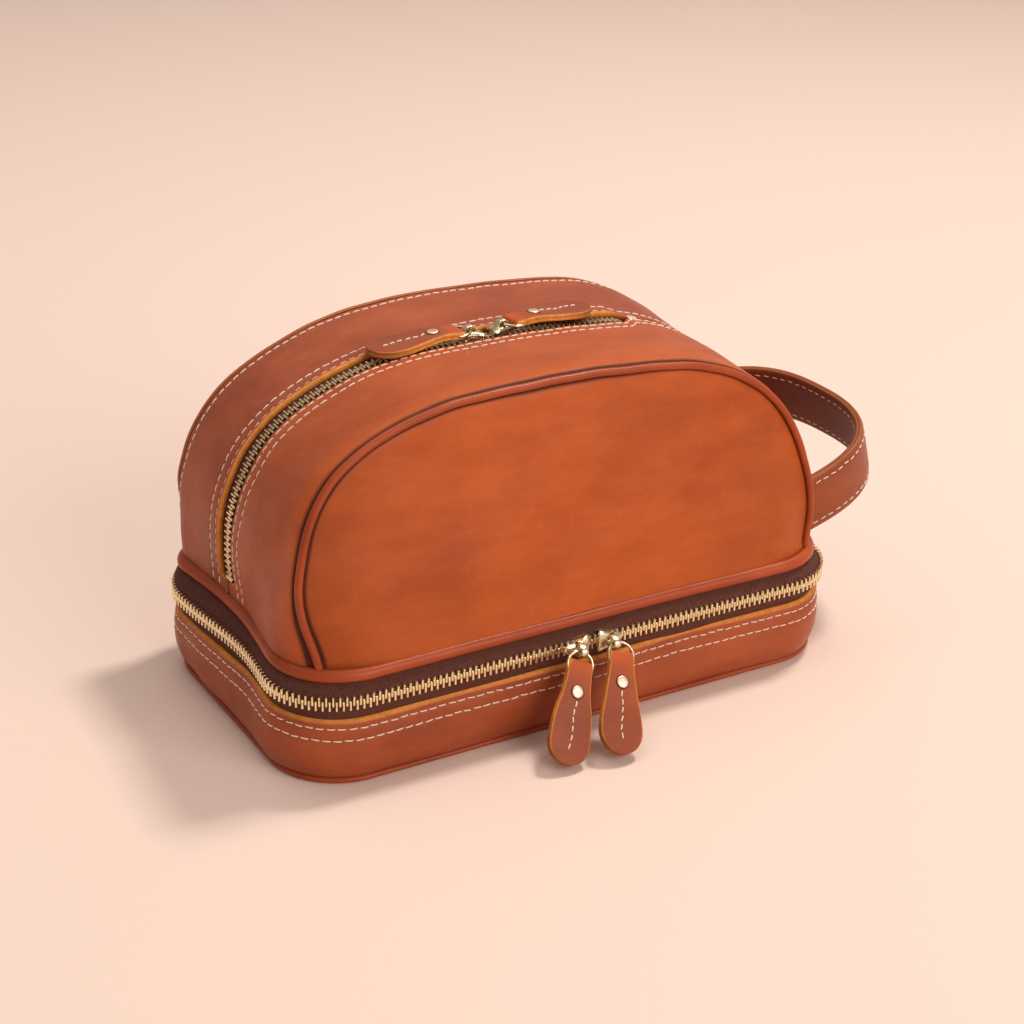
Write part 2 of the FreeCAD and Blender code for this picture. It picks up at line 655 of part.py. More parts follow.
def pull(name, placement):
    """A pull about its ring's centre: local X across the tab, -Y towards its tip, Z outward."""
    ring = doc.addObject("Part::Torus", f"{name}_ring")
    ring.setExpression("Radius1", "sheet.ring_radius")
    ring.setExpression("Radius2", "sheet.ring_wire")

    tab = new_body(f"{name}_tab")
    sketch = new_sketch(tab, "outline", XY)
    neck, round_end, fold = size["tab_neck"], size["tab_round"], size["tab_fold"]
    low = -size["tab_length"] + round_end
    slope = math.asin((round_end - neck) / (fold - low))
    side_x, side_y = round_end * math.cos(slope), low + round_end * math.sin(slope)
    top = line(sketch, neck, fold, -neck, fold)
    left = line(sketch, -neck, fold, -side_x, side_y)
    degrees = math.degrees(slope)
    end = arc(sketch, 0, low, round_end, 180 - degrees, 360 + degrees)
    right = line(sketch, side_x, side_y, neck, fold)
    tangent(sketch, (left, END, end, START), (end, END, right, START))
    sketch.addConstraint(Sketcher.Constraint("Coincident", top, END, left, START))
    sketch.addConstraint(Sketcher.Constraint("Coincident", right, END, top, START))
    sketch.addConstraint(Sketcher.Constraint("Horizontal", top))
    sketch.addConstraint(Sketcher.Constraint("PointOnObject", end, CENTRE, -2))
    bind(sketch, "Radius", "<tab_round>", end)
    bind(sketch, "DistanceY", "<tab_round>-<tab_length>", *ORIGIN, end, CENTRE)
    bind(sketch, "DistanceY", "<tab_fold>", *ORIGIN, top, START)
    bind(sketch, "DistanceX", "<tab_neck>", *ORIGIN, top, START)
    bind(sketch, "DistanceX", "0-<tab_neck>", *ORIGIN, top, END)
    feature(tab, "Pad", "layers", sketch, "<tab_thickness>", both=True)
    eye = new_sketch(tab, "eye", YZ)
    box_outline(eye, "0-<tab_pocket_depth>", "0-<tab_fold>", "0-<tab_pocket>/2", "<tab_pocket>/2")
    feature(tab, "Pocket", "eye", eye, both=True)
    hole = new_sketch(tab, "hole", XY)
    centre = Vector(0, -size["rivet_place"])
    circle = hole.addGeometry(Part.Circle(centre, Vector(0, 0, 1), size["rivet_shank"]), False)
    hole.addConstraint(Sketcher.Constraint("PointOnObject", circle, CENTRE, -2))
    bind(hole, "Radius", "<rivet_shank>+<seam_clearance>", circle)
    bind(hole, "DistanceY", "0-<rivet_place>", *ORIGIN, circle, CENTRE)
    feature(tab, "Pocket", "hole", hole, both=True)

    shank = doc.addObject("Part::Cylinder", f"{name}_rivet_shank")
    shank.setExpression("Radius", "sheet.rivet_shank")
    shank.setExpression("Height", "sheet.tab_thickness")
    shank.setExpression("Placement.Base.z", cells("0-<tab_thickness>/2"))
    caps = []
    under = "0-<tab_thickness>/2-<rivet_cap_height>"
    for side, place in (("front", "<tab_thickness>/2"), ("back", under)):
        cap = doc.addObject("Part::Cylinder", f"{name}_rivet_{side}")
        cap.setExpression("Radius", "sheet.rivet_cap")
        cap.setExpression("Height", "sheet.rivet_cap_height")
        cap.setExpression("Placement.Base.z", cells(place))
        caps.append(cap)
    rivet = doc.addObject("Part::MultiFuse", f"{name}_rivet")
    rivet.Shapes = [shank, *caps]
    for item in (ring, rivet):
        item.Label = item.Name
        parts.append(item)
    ring.Placement = placement
    tab.Placement = placement
    down = placement.Rotation.multVec(Vector(0, -size["rivet_place"], 0))
    rivet.Placement = Placement(placement.Base + down, placement.Rotation)


def pull_placement(wire, turned, ring_turn):
    """The pull's frame from the point where its ring passes the bail.

    ring_turn says how far round the ring, in degrees, that point lies from the tab's line.
    """
    angle = math.radians(ring_turn)
    radius = size["ring_radius"]
    to_centre = Vector(radius * math.sin(angle), -radius * math.cos(angle), 0)
    return Placement(wire + turned.multVec(to_centre), turned)


def wire_lift():
    """How far the ring's wire stands out from the middle of the chain, at the bail."""
    return size["teeth_half_thickness"] + size["slider_room"] + size["slider_plate"] + size["wire_height"]


def base_sliders():
    """The two sliders of the base zip, nose to nose at the front, with their hanging pulls."""
    front = -size["tray_half_depth"] - size["zip_outset"]
    facing_front = Rotation(Vector(1, 0, 0), 90)
    for hand, side in ((-1, "left"), (1, "right")):
        x = hand * size[f"low_{side}_place"]
        name = f"base_{side}_slider"
        slider(name, Placement(Vector(x, front, size["zip_height"]), facing_front), True)
        lean = Rotation(Vector(1, 0, 0), 90 - size[f"low_{side}_lean"])
        sway = Rotation(Vector(0, 0, 1), -size[f"low_{side}_sway"])
        turned = lean.multiply(sway)
        wire = Vector(x, front - wire_lift(), size["zip_height"])
        pull(f"base_{side}_pull", pull_placement(wire, turned, hand * size[f"low_{side}_turn"]))


def top_sliders():
    """The two sliders of the top zip, with their tabs lying along the dome."""
    chain = size["crown"] - size["top_tape_inset"] - size["tape"] / 2
    middle = Vector(0, size["slit_middle"], size["case_base"] + size["rear_height"] - size["crown"])
    for hand, side in ((-1, "left"), (1, "right")):
        angle = math.asin(hand * size[f"top_{side}_place"] / chain)
        name = f"top_{side}_slider"
        outward = Vector(math.sin(angle), 0, math.cos(angle))
        along = Rotation(Vector(0, 1, 0), math.degrees(angle))
        slider(name, Placement(middle + outward * chain, along), False)
        lie = Rotation(Vector(0, 1, 0), hand * size["top_lie"])
        flat = along.multiply(lie).multiply(Rotation(Vector(0, 0, 1), hand * 90))
        pull(f"top_{side}_pull", pull_placement(middle + outward * (chain + wire_lift()), flat, 0))


def build():
    base_floor()
    welt = tray_ring("base_welt", "0", "<base_welt_size>", "0", "<base_welt_size>")
    round_edges(welt, "<base_welt_size>*<welt_rounding>")
    tray_ring("base_band", "0", "<leather>", "<base_welt_size>", "<band_top>-<base_welt_size>")
    base_lining()
    base_zip()
    base_stops()
    hinge_strip()
    body_welt = tray_ring("body_welt", "0", "<body_welt_size>", "<case_foot>", "<body_welt_size>")
    round_edges(body_welt, "<body_welt_size>*<welt_rounding>")
    case_floor()
    case_panels()
    case_gussets()
    top_zip()
    case_lining()
    handle_layer("handle_outer_layer", "0", "<strap_layer>")
    handle_layer("handle_inner_layer", "<strap_layer>+<seam_clearance>/2", "<strap_layer>*2")
    base_sliders()
    top_sliders()
    doc.recompute()


def write():
    """Checks every object, then writes each sub-part to its own file."""
    failed = [item.Name for item in doc.Objects if {"Invalid", "Error"} & set(item.State)]
    if failed:
        raise RuntimeError(f"these objects failed: {failed}")
    for item in parts:
        if item.Shape.isNull() or not item.Shape.isValid() or item.Shape.Volume <= 0:
            raise RuntimeError(f"{item.Label} has no valid shape")
    os.makedirs("parts", exist_ok=True)
    for item in parts:
        item.Shape.exportStep(os.path.join("parts", f"{item.Label}.step"))
        bounds = item.Shape.BoundBox
        print(f"{item.Label:24s} volume {item.Shape.Volume:9.1f}"
              f"  x {bounds.XMin:7.1f} {bounds.XMax:7.1f}"
              f"  y {bounds.YMin:7.1f} {bounds.YMax:7.1f}  z {bounds.ZMin:6.1f} {bounds.ZMax:6.1f}")


build()
write()
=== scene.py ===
import json
import math

import bmesh
import bpy
import numpy as np
from mathutils import Matrix, Vector


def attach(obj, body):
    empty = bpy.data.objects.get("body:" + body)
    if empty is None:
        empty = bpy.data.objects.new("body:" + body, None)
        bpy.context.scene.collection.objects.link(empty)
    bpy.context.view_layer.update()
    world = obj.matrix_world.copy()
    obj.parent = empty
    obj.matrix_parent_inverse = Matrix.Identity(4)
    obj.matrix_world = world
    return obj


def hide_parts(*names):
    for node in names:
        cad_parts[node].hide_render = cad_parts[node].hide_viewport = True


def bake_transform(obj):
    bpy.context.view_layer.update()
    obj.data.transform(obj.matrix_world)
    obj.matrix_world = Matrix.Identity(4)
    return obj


# All shapes are worked out in millimetres in the row's frame and stored in metres.
MM = 0.001

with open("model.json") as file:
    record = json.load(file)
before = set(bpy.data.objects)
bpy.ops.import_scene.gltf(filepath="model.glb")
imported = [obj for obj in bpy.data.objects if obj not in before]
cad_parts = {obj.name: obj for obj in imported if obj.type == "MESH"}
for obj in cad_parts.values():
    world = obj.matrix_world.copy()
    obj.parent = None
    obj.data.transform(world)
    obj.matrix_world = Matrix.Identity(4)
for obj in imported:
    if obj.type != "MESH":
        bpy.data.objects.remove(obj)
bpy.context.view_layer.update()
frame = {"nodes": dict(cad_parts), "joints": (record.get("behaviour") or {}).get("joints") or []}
random = np.random.default_rng(7)


# ---------------------------------------------------------------- materials

class Graph:
    """A small helper to write a material's node tree."""

    def __init__(self, name, rough=0.5, metallic=0.0):
        self.material = bpy.data.materials.new(name)
        self.material.use_nodes = True
        self.tree = self.material.node_tree
        self.shader = self.tree.nodes["Principled BSDF"]
        self.shader.inputs["Roughness"].default_value = rough
        self.shader.inputs["Metallic"].default_value = metallic

    def node(self, kind, **values):
        made = self.tree.nodes.new(kind)
        for key, value in values.items():
            if hasattr(made, key):
                setattr(made, key, value)
            else:
                made.inputs[key.replace("_", " ")].default_value = value
        return made

    def join(self, source, target):
        self.tree.links.new(source, target)

    def put(self, sockets, values):
        """Sets each socket to a number or a colour, or joins it to an output. None leaves it alone."""
        for socket, value in zip(sockets, values):
            if isinstance(value, (int, float)):
                socket.default_value = value
            elif isinstance(value, tuple):
                socket.default_value = (*value, 1.0)
            elif value is not None:
                self.join(value, socket)

    def coords(self, stretch=(1, 1, 1)):
        place = self.node("ShaderNodeTexCoord")
        mapping = self.node("ShaderNodeMapping", Scale=stretch)
        self.join(place.outputs["Object"], mapping.inputs["Vector"])
        return mapping.outputs["Vector"]

    def noise(self, scale, detail=3.0, rough=0.5, vector=None):
        made = self.node("ShaderNodeTexNoise", Scale=scale, Detail=detail, Roughness=rough)
        self.join(vector or self.coords(), made.inputs["Vector"])
        return made.outputs["Fac"]

    def cells(self, scale):
        made = self.node("ShaderNodeTexVoronoi", feature="DISTANCE_TO_EDGE", Scale=scale)
        self.join(self.coords(), made.inputs["Vector"])
        return made.outputs["Distance"]

    def spread(self, value, low, high, to_low=0.0, to_high=1.0):
        made = self.node("ShaderNodeMapRange", From_Min=low, From_Max=high, To_Min=to_low, To_Max=to_high)
        self.join(value, made.inputs["Value"])
        return made.outputs["Result"]

    def math(self, kind, first, second=None):
        made = self.node("ShaderNodeMath", operation=kind)
        self.put(made.inputs, (first, second))
        return made.outputs["Value"]

    def mix(self, factor, first, second):
        made = self.node("ShaderNodeMix", data_type="RGBA")
        self.put([s for s in made.inputs if s.enabled], (factor, first, second))
        return [s for s in made.outputs if s.enabled][0]

    def attribute(self, name):
        return self.node("ShaderNodeAttribute", attribute_name=name).outputs["Fac"]

    def bump(self, height, strength, distance, under=None):
        made = self.node("ShaderNodeBump", Strength=strength, Distance=distance)
        self.put([made.inputs["Height"], made.inputs["Normal"]], (height, under))
        return made.outputs["Normal"]

    def finish(self, colour, rough=None, normal=None):
        inputs = self.shader.inputs
        self.put((inputs["Base Color"], inputs["Roughness"], inputs["Normal"]), (colour, rough, normal))
        return self.material


RAW_EDGE = (1.0, 0.37, 0.065)
# Colour of the painted shade that the shade attribute mixes in: grooves at the seams, the feet of the band and
# gusset, the front panel's sides and the rings round the rivets.
PAINTED_SHADE = (0.060, 0.012, 0.003)


def leather(name, light, dark, rough=(0.36, 0.5), grain=0.35, mottle=1.0):
    """Oiled cowhide: patchy colour, fine pores and grain. The point attribute "raw" turns it
    into its tan cut edge, "shade" mixes in painted shade and "warm" makes it as orange as the front."""
    g = Graph(name)
    patches = g.spread(g.noise(16.0, 4.0, 0.6), 0.35, 0.68)
    streaks = g.spread(g.noise(55.0, 5.0, 0.65, g.coords((0.5, 1, 1.6))), 0.36, 0.7)
    cover = g.math("MULTIPLY", g.math("ADD", patches, streaks), 0.5 * mottle)
    colour = g.mix(cover, dark, light)
    marks = g.spread(g.noise(130.0, 6.0, 0.75, g.coords((1.0, 0.6, 0.35))), 0.6, 0.74, 0.0, 0.22)
    colour = g.mix(marks, colour, tuple(min(1.0, c * 1.5) for c in light))
    pores = g.cells(1100.0)
    colour = g.mix(g.spread(pores, 0.0, 0.12, 0.30 * grain, 0.0), colour, tuple(c * 0.4 for c in dark))
    fibres = g.noise(2400.0, 3.0, 0.7)
    tufts = g.math("MULTIPLY", g.math("ADD", fibres, g.noise(420.0, 4.0, 0.7)), 0.5)
    raw_colour = g.mix(g.spread(tufts, 0.4, 0.6), tuple(c * 0.62 for c in RAW_EDGE), RAW_EDGE)
    colour = g.mix(g.attribute("warm"), colour, g.mix(cover, (0.44, 0.066, 0.007), (0.60, 0.125, 0.018)))
    colour = g.mix(g.attribute("raw"), colour, raw_colour)
    # Painted shade: the shade attribute darkens the colour where shade falls.
    colour = g.mix(g.attribute("shade"), colour, PAINTED_SHADE)
    shine = g.spread(g.noise(40.0, 4.0, 0.6), 0.3, 0.7, *rough)
    shine = g.math("ADD", shine, g.math("MULTIPLY", g.attribute("raw"), 0.25))
    shine = g.math("ADD", shine, g.math("MULTIPLY", g.attribute("shade"), 0.35))
    wrinkles = g.bump(g.noise(260.0, 5.0, 0.6), 0.10 + 0.25 * grain, 0.0006)
    grained = g.bump(g.spread(pores, 0.0, 0.22), 0.22 * grain + 0.05, 0.00022, wrinkles)
    normal = g.bump(fibres, 0.12, 0.00018, grained)
    g.shader.inputs["Sheen Weight"].default_value = 0.02
    g.shader.inputs["Sheen Roughness"].default_value = 0.4
    g.shader.inputs["Specular IOR Level"].default_value = 0.25
    return g.finish(colour, shine, normal)


def herringbone(name, light, dark):
    """Twill zip tape. Its map runs along the tape and across it, in metres."""
    g = Graph(name, rough=0.8)
    split = g.node("ShaderNodeSeparateXYZ")
    g.join(g.node("ShaderNodeTexCoord").outputs["UV"], split.inputs["Vector"])
    zigzag = g.math("PINGPONG", split.outputs["Y"], 0.0019)
    slant = g.math("ADD", split.outputs["X"], zigzag)
    ribs = g.math("SINE", g.math("MULTIPLY", slant, 2 * math.pi / 0.00095))
    yarn = g.math("SINE", g.math("MULTIPLY", split.outputs["Y"], 2 * math.pi / 0.00055))
    height = g.math("ADD", ribs, g.math("MULTIPLY", yarn, 0.35))
    colour = g.mix(g.spread(height, -1.0, 1.2), dark, light)
    colour = g.mix(g.spread(g.noise(500.0, 4.0, 0.7), 0.4, 0.75, 0.0, 0.5), colour, dark)
    g.shader.inputs["Specular IOR Level"].default_value = 0.2
    return g.finish(colour, None, g.bump(height, 0.7, 0.00025))


def metal(name, light, dark, rough=(0.2, 0.4), wear=900.0):
    """Brass with uneven polish and dark patina in its pits."""
    g = Graph(name, metallic=1.0)
    patina = g.spread(g.noise(wear, 5.0, 0.65), 0.38, 0.62)
    colour = g.mix(patina, dark, light)
    shine = g.spread(g.noise(wear * 1.7, 4.0, 0.6), 0.3, 0.7, *rough)
    return g.finish(colour, shine, g.bump(g.noise(wear * 2.2, 3.0), 0.10, 0.00015))


def thread(name, colour, dark):
    """Waxed sewing thread with its twist."""
    g = Graph(name, rough=0.6)
    twist = g.node("ShaderNodeTexWave", Scale=900.0, Distortion=3.0, Detail=2.0)
    g.join(g.coords(), twist.inputs["Vector"])
    shade = g.mix(twist.outputs["Fac"], dark, colour)
    return g.finish(shade, None, g.bump(twist.outputs["Fac"], 0.5, 0.0002))


def cloth(name, light, dark):
    """Plain woven lining."""
    g = Graph(name, rough=0.85)
    waves = []
    for axis in ((1, 0.35, 0), (0, 0.35, 1)):
        made = g.node("ShaderNodeTexWave", Scale=330.0, Distortion=0.6)
        g.join(g.coords(axis), made.inputs["Vector"])
        waves.append(made.outputs["Fac"])
    weave = g.math("MAXIMUM", *waves)
    colour = g.mix(g.spread(weave, 0.2, 1.0), dark, light)
    return g.finish(colour, None, g.bump(weave, 0.4, 0.0003))


def ground(name, colour):
    """Pale matt floor with a fine grain."""
    g = Graph(name, rough=0.85)
    speck = g.spread(g.noise(900.0, 3.0, 0.7), 0.35, 0.7)
    tone = g.mix(speck, tuple(c * 0.955 for c in colour), colour)
    return g.finish(tone, None, g.bump(g.noise(700.0, 3.0), 0.12, 0.0004))


COGNAC = leather("cognac_leather", (0.46, 0.098, 0.030), (0.28, 0.050, 0.015))
FRONT = leather("front_leather", (0.63, 0.118, 0.014), (0.42, 0.066, 0.007), grain=0.22, mottle=1.05)
PIPING = leather("welt_leather", (0.46, 0.080, 0.018), (0.29, 0.042, 0.010), rough=(0.3, 0.42), grain=0.25)
HINGE = leather("hinge_leather", (0.42, 0.08, 0.024), (0.26, 0.042, 0.012))
STRAP = leather("strap_leather", (0.36, 0.082, 0.027), (0.24, 0.046, 0.014))
STRAP_IN = leather("strap_lining_leather", (0.23, 0.045, 0.014), (0.13, 0.023, 0.007), rough=(0.45, 0.6))
TAB = leather("tab_leather", (0.38, 0.082, 0.024), (0.22, 0.042, 0.013), rough=(0.4, 0.55))
BOARD = cloth("stiffener_board", (0.3, 0.24, 0.18), (0.22, 0.17, 0.13))
LINING = cloth("lining_cloth", (0.16, 0.10, 0.07), (0.08, 0.05, 0.035))
TAPE = herringbone("zip_tape", (0.26, 0.085, 0.055), (0.036, 0.010, 0.007))
TEETH = metal("zip_teeth", (1.0, 0.87, 0.60), (0.80, 0.62, 0.34), rough=(0.2, 0.34))
SLIDER = metal("slider_brass", (0.93, 0.83, 0.56), (0.52, 0.43, 0.25), rough=(0.22, 0.38), wear=420.0)
RING = metal("ring_brass", (0.86, 0.72, 0.50), (0.55, 0.42, 0.24), rough=(0.15, 0.28))
RIVET = metal("rivet_brass", (0.93, 0.72, 0.54), (0.72, 0.50, 0.35), rough=(0.38, 0.52), wear=700.0)
THREAD = thread("cream_thread", (1.0, 0.83, 0.68), (0.88, 0.62, 0.46))


# ---------------------------------------------------------------- mesh helpers

def make(name, points, faces, material, body=None, slot=True, also=(), raw=None, shade=None,
         warm=None, chart=None, flat=False):
    """A mesh object from points in millimetres, with its material.

    It replaces the CAD node it is named after, if there is one, and the nodes in also.
    raw, shade and warm are point attributes. chart gives each point's (along, across) map.
    """
    mesh = bpy.data.meshes.new(name)
    mesh.from_pydata((np.asarray(points, float).reshape(-1, 3) * MM).tolist(), [], faces)
    work = bmesh.new()
    work.from_mesh(mesh)
    bmesh.ops.recalc_face_normals(work, faces=work.faces)
    work.to_mesh(mesh)
    work.free()
    for label, values in (("raw", raw), ("shade", shade), ("warm", warm)):
        if values is not None:
            layer = mesh.attributes.new(label, "FLOAT", "POINT")
            layer.data.foreach_set("value", np.asarray(values, np.float32).ravel())
    if chart is not None:
        corners = np.empty(len(mesh.loops), int)
        mesh.loops.foreach_get("vertex_index", corners)
        layer = mesh.uv_layers.new(name="chart")
        layer.data.foreach_set("uv", (np.asarray(chart, float).reshape(-1, 2)[corners] * MM).ravel())
    mesh.polygons.foreach_set("use_smooth", [not flat] * len(mesh.polygons))
    mesh.materials.append(material)
    made = bpy.data.objects.new(name, mesh)
    bpy.context.scene.collection.objects.link(made)
    if body:
        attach(made, body)
    replaced = [node for node in (name, *also) if node in frame["nodes"]]
    if replaced:
        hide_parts(*replaced)
    return made


def grid(rows, columns, wrap_rows=False, wrap_columns=False, first=0):
    """Quads over a grid of points stored row by row."""
    faces = []
    for i in range(rows if wrap_rows else rows - 1):
        a, b = i * columns + first, ((i + 1) % rows) * columns + first
        for j in range(columns if wrap_columns else columns - 1):
            k = (j + 1) % columns
            faces.append((a + j, a + k, b + k, b + j))
    return faces


def tube_faces(rows, columns, closed, first=0):
    """A grid closed round its section, with end caps when the path is open."""
    faces = grid(rows, columns, closed, True, first)
    if not closed:
        faces.append(tuple(first + j for j in range(columns)))
        last = first + (rows - 1) * columns
        faces.append(tuple(last + j for j in range(columns)))
    return faces


def unit(vectors):
    return vectors / np.maximum(np.linalg.norm(vectors, axis=-1, keepdims=True), 1e-9)


def step(value, low, high):
    """Smooth rise from 0 at low to 1 at high."""
    t = np.clip((np.asarray(value, float) - low) / (high - low), 0, 1)
    return t * t * (3 - 2 * t)


def wobble(points, size, amount, seed):
    """Gentle unevenness over a surface: a few sine waves in fixed directions."""
    source = np.random.default_rng(seed)
    total = np.zeros(np.shape(points)[:-1])
    for _ in range(7):
        direction = unit(source.normal(size=3)) * (2 * math.pi / (size * source.uniform(0.6, 1.6)))
        total += np.sin(points @ direction + source.uniform(0, 2 * math.pi))
    return total * amount / 2.6


def hump(value, middle, width):
    """1 at middle, falling off to both sides over width."""
    return np.exp(-((value - middle) / width) ** 2)


def lengths(path):
    """How far along a path each of its points is."""
    return np.concatenate([[0], np.cumsum(np.linalg.norm(np.diff(path, axis=0), axis=1))])


def follow(path, run, at):
    """The values of path at the distances at, where run holds the distance of each row."""
    return np.stack([np.interp(at, run, column) for column in path.T], -1)


def resample(path, pitch):
    """Points at an even pitch along an open path."""
    run = lengths(path)
    count = max(2, int(round(run[-1] / pitch)))
    return follow(path, run, np.linspace(0, count, count + 1) * run[-1] / count)


def sweep(name, path, out, section, material, closed=False, **words):
    """A tube: section is (outward, sideways) round the path, whose outward direction is out."""
    path, out = np.asarray(path, float), unit(np.asarray(out, float))
    if closed:
        along = unit(np.roll(path, -1, 0) - np.roll(path, 1, 0))
    else:
        along = unit(np.gradient(path, axis=0))
    side = unit(np.cross(along, out))
    section = np.asarray(section, float)
    if section.ndim == 2:
        section = np.broadcast_to(section, (len(path), *section.shape))
    points = path[:, None] + out[:, None] * section[..., :1] + side[:, None] * section[..., 1:2]
    return make(name, points, tube_faces(len(path), section.shape[1], closed), material, **words)


def rounded(half_out, half_side, power=2.6, count=20):
    """A soft-cornered section."""
    t = np.arange(count) / count * 2 * math.pi
    c, s = np.cos(t), np.sin(t)
    return np.stack([half * np.sign(v) * abs(v) ** (2 / power) for half, v in ((half_out, c), (half_side, s))], 1)


# Place along a stitch in half lengths, then its rise and its thickness there in radii.
STITCH_PROFILE = ((-1.0, -0.55, 0.5), (-0.82, 0.1, 0.9), (-0.4, 0.42, 1.0),
                  (0.4, 0.42, 1.0), (0.82, 0.1, 0.9), (1.0, -0.55, 0.5))


def stitches(name, rows, body, length=3.3, pitch=4.15, radius=0.3, uneven=1.0):
    """Sewn stitches along several (path, outward) rows, in one mesh."""
    points, faces = [], []
    for path, out in rows:
        run = lengths(path)
        count = max(1, int(run[-1] / pitch))
        gap = run[-1] / count
        for k in range(count):
            middle = (k + 0.5) * gap + random.normal(0, 0.12) * uneven
            slip = random.normal(0, 0.10) * uneven
            slant = random.normal(0, 0.13) * uneven
            rings = []
            for place, lift, swell in STITCH_PROFILE:
                at = middle + place * length / 2 * (1 + random.normal(0, 0.02))
                ahead = follow(path, run, at + 0.5) - follow(path, run, at - 0.5)
                up = unit(follow(out, run, at))
                side = unit(np.cross(ahead, up))
                centre = follow(path, run, at) + up * lift * radius + side * (slip + slant * place)
                for a in range(6):
                    turn = a * math.pi / 3
                    rings.append(centre + (up * math.sin(turn) + side * math.cos(turn)) * radius * swell)
            faces += tube_faces(len(STITCH_PROFILE), 6, False, len(points))
            points += rings
    return make(name, points, faces, THREAD, body=body, slot=False)


# ---------------------------------------------------------------- the tray's outline

# Each level: height, half length, half depth, front corner, rear corner, how far the left end
# is pushed in, the dent's place, its width towards the front and towards the rear, and how far
# the front's middle is pulled in.
LEVELS = np.array([
    [0.0, 125.4, 67.2, 29.0, 27.0, 0.0, -10.0, 35.0, 38.0, 0.0],
    [12.0, 127.2, 67.2, 30.0, 27.0, 1.5, -10.0, 35.0, 38.0, 0.0],
    [27.2, 128.2, 67.0, 31.3, 28.0, 4.0, -12.0, 33.0, 36.0, 0.0],
    [35.8, 129.0, 68.4, 31.4, 30.0, 5.0, -12.0, 31.0, 34.0, 0.0],
    [42.0, 128.0, 66.6, 34.0, 18.0, 8.4, 3.0, 40.0, 66.0, 1.6],
    [46.4, 126.8, 65.9, 34.5, 15.0, 8.6, 6.0, 43.0, 74.0, 1.8],
    [60.0, 126.8, 65.9, 34.5, 15.0, 8.6, 6.0, 43.0, 74.0, 1.8],
])
REFERENCE = (128.0, 67.0, 31.0, 24.0)


def outline_runs(a, b, front, rear):
    """Lengths of the outline's nine runs, from the rear's middle round by the left end."""
    corner = math.pi / 2
    return np.array([a - rear, rear * corner, 2 * b - rear - front, front * corner, 2 * (a - front),
                     front * corner, 2 * b - rear - front, rear * corner, a - rear])


RUN_ENDS = np.concatenate([[0], np.cumsum(outline_runs(*REFERENCE))])
ROUND = RUN_ENDS[-1]


def outline_point(s, z):
    """Point of the outline at distance s round it, at height z."""
    s = np.mod(np.asarray(s, float), ROUND)
    a, b, front, rear, dent, place, fore, aft, pull = follow(LEVELS[:, 1:], LEVELS[:, 0], z)
    run = np.clip(np.searchsorted(RUN_ENDS, s, side="right") - 1, 0, 8)
    t = (s - RUN_ENDS[run]) / (RUN_ENDS[run + 1] - RUN_ENDS[run])
    angle = t * math.pi / 2
    c, n = np.cos(angle), np.sin(angle)
    side = 2 * b - rear - front
    choices_x = [-t * (a - rear), -(a - rear) - rear * n, -a + 0 * t, -(a - front) - front * c,
                 -(a - front) + 2 * t * (a - front), (a - front) + front * n, a + 0 * t,
                 (a - rear) + rear * c, (1 - t) * (a - rear)]
    choices_y = [b + 0 * t, (b - rear) + rear * c, (b - rear) - t * side, -(b - front) - front * n,
                 -b + 0 * t, -(b - front) - front * c, -(b - front) + t * side, (b - rear) + rear * n, b + 0 * t]
    x, y = np.choose(run, choices_x), np.choose(run, choices_y)
    width = np.where(y < place, fore, aft)
    x = x + dent * hump(y, place, width) * step(-x, a - 45, a - 5)
    x = x - 0.2 * dent * hump(y, -40, 30) * step(x, a - 45, a - 5)
    y = y + pull * np.cos(np.clip(x / a, -1, 1) * math.pi / 2) * step(-y, b - 30, b - 4)
    return np.stack([x, y], -1)


def outline(s, z, out=0.0):
    """The outline moved outward by out, as points (x, y, z)."""
    ahead = outline_point(s + 0.4, z) - outline_point(s - 0.4, z)
    normal = unit(np.stack([ahead[..., 1], -ahead[..., 0]], -1))
    place = outline_point(s, z) + normal * out
    return np.concatenate([place, np.full((*place.shape[:-1], 1), float(z))], -1)


def outline_normal(s, z):
    return unit(outline(s, z, 1.0) - outline(s, z, 0.0))


def round_sweep(name, profile, material, start=0.0, end=None, pitch=1.6, loose=0.0, seed=1, raw=None,
                shade=None, across=None, **words):
    """Carries a section of (height, outward) pairs round the outline, all round unless end is given."""
    closed = end is None
    last = ROUND if closed else end
    count = int((last - start) / pitch)
    s = start + (np.arange(count) if closed else np.linspace(0, count, count + 1)) * (last - start) / count
    columns = [outline(s, z, out) for z, out in profile]
    points = np.stack(columns, 1)
    if loose:
        push = wobble(points, 45.0, loose, seed)
        points = points + push[..., None] * outline_normal(s, 30.0)[:, None]
    spread_out = {}
    for label, values in (("raw", raw), ("shade", shade)):
        if values is not None:
            spread_out[label] = np.broadcast_to(np.asarray(values, float), points.shape[:2])
    chart = None
    if across is not None:
        chart = np.stack(np.broadcast_arrays(s[:, None], np.asarray(across, float)), -1)
    faces = tube_faces(len(s), len(profile), closed)
    return make(name, points, faces, material, chart=chart, **spread_out, **words)


def oval(height, out, half_height, half_out, count):
    """A round or oval section of (height, outward) pairs."""
    return [(height + half_height * math.sin(a), out + half_out * math.cos(a))
            for a in np.linspace(0, 2 * math.pi, count, endpoint=False)]


def curve_profile(pairs, count):
    """A smooth run of (height, outward) pairs through the given ones."""
    pairs = np.asarray(pairs, float)
    run = lengths(pairs)
    at = np.linspace(0, run[-1], count)
    slopes = np.gradient(pairs, run, axis=0)
    index = np.clip(np.searchsorted(run, at, side="right") - 1, 0, len(run) - 2)
    h = run[index + 1] - run[index]
    t = ((at - run[index]) / h)[:, None]
    h = h[:, None]
    p0, p1, m0, m1 = pairs[index], pairs[index + 1], slopes[index] * h, slopes[index + 1] * h
    return (p0 * (2 * t**3 - 3 * t**2 + 1) + m0 * (t**3 - 2 * t**2 + t)
            + p1 * (3 * t**2 - 2 * t**3) + m1 * (t**3 - t**2))


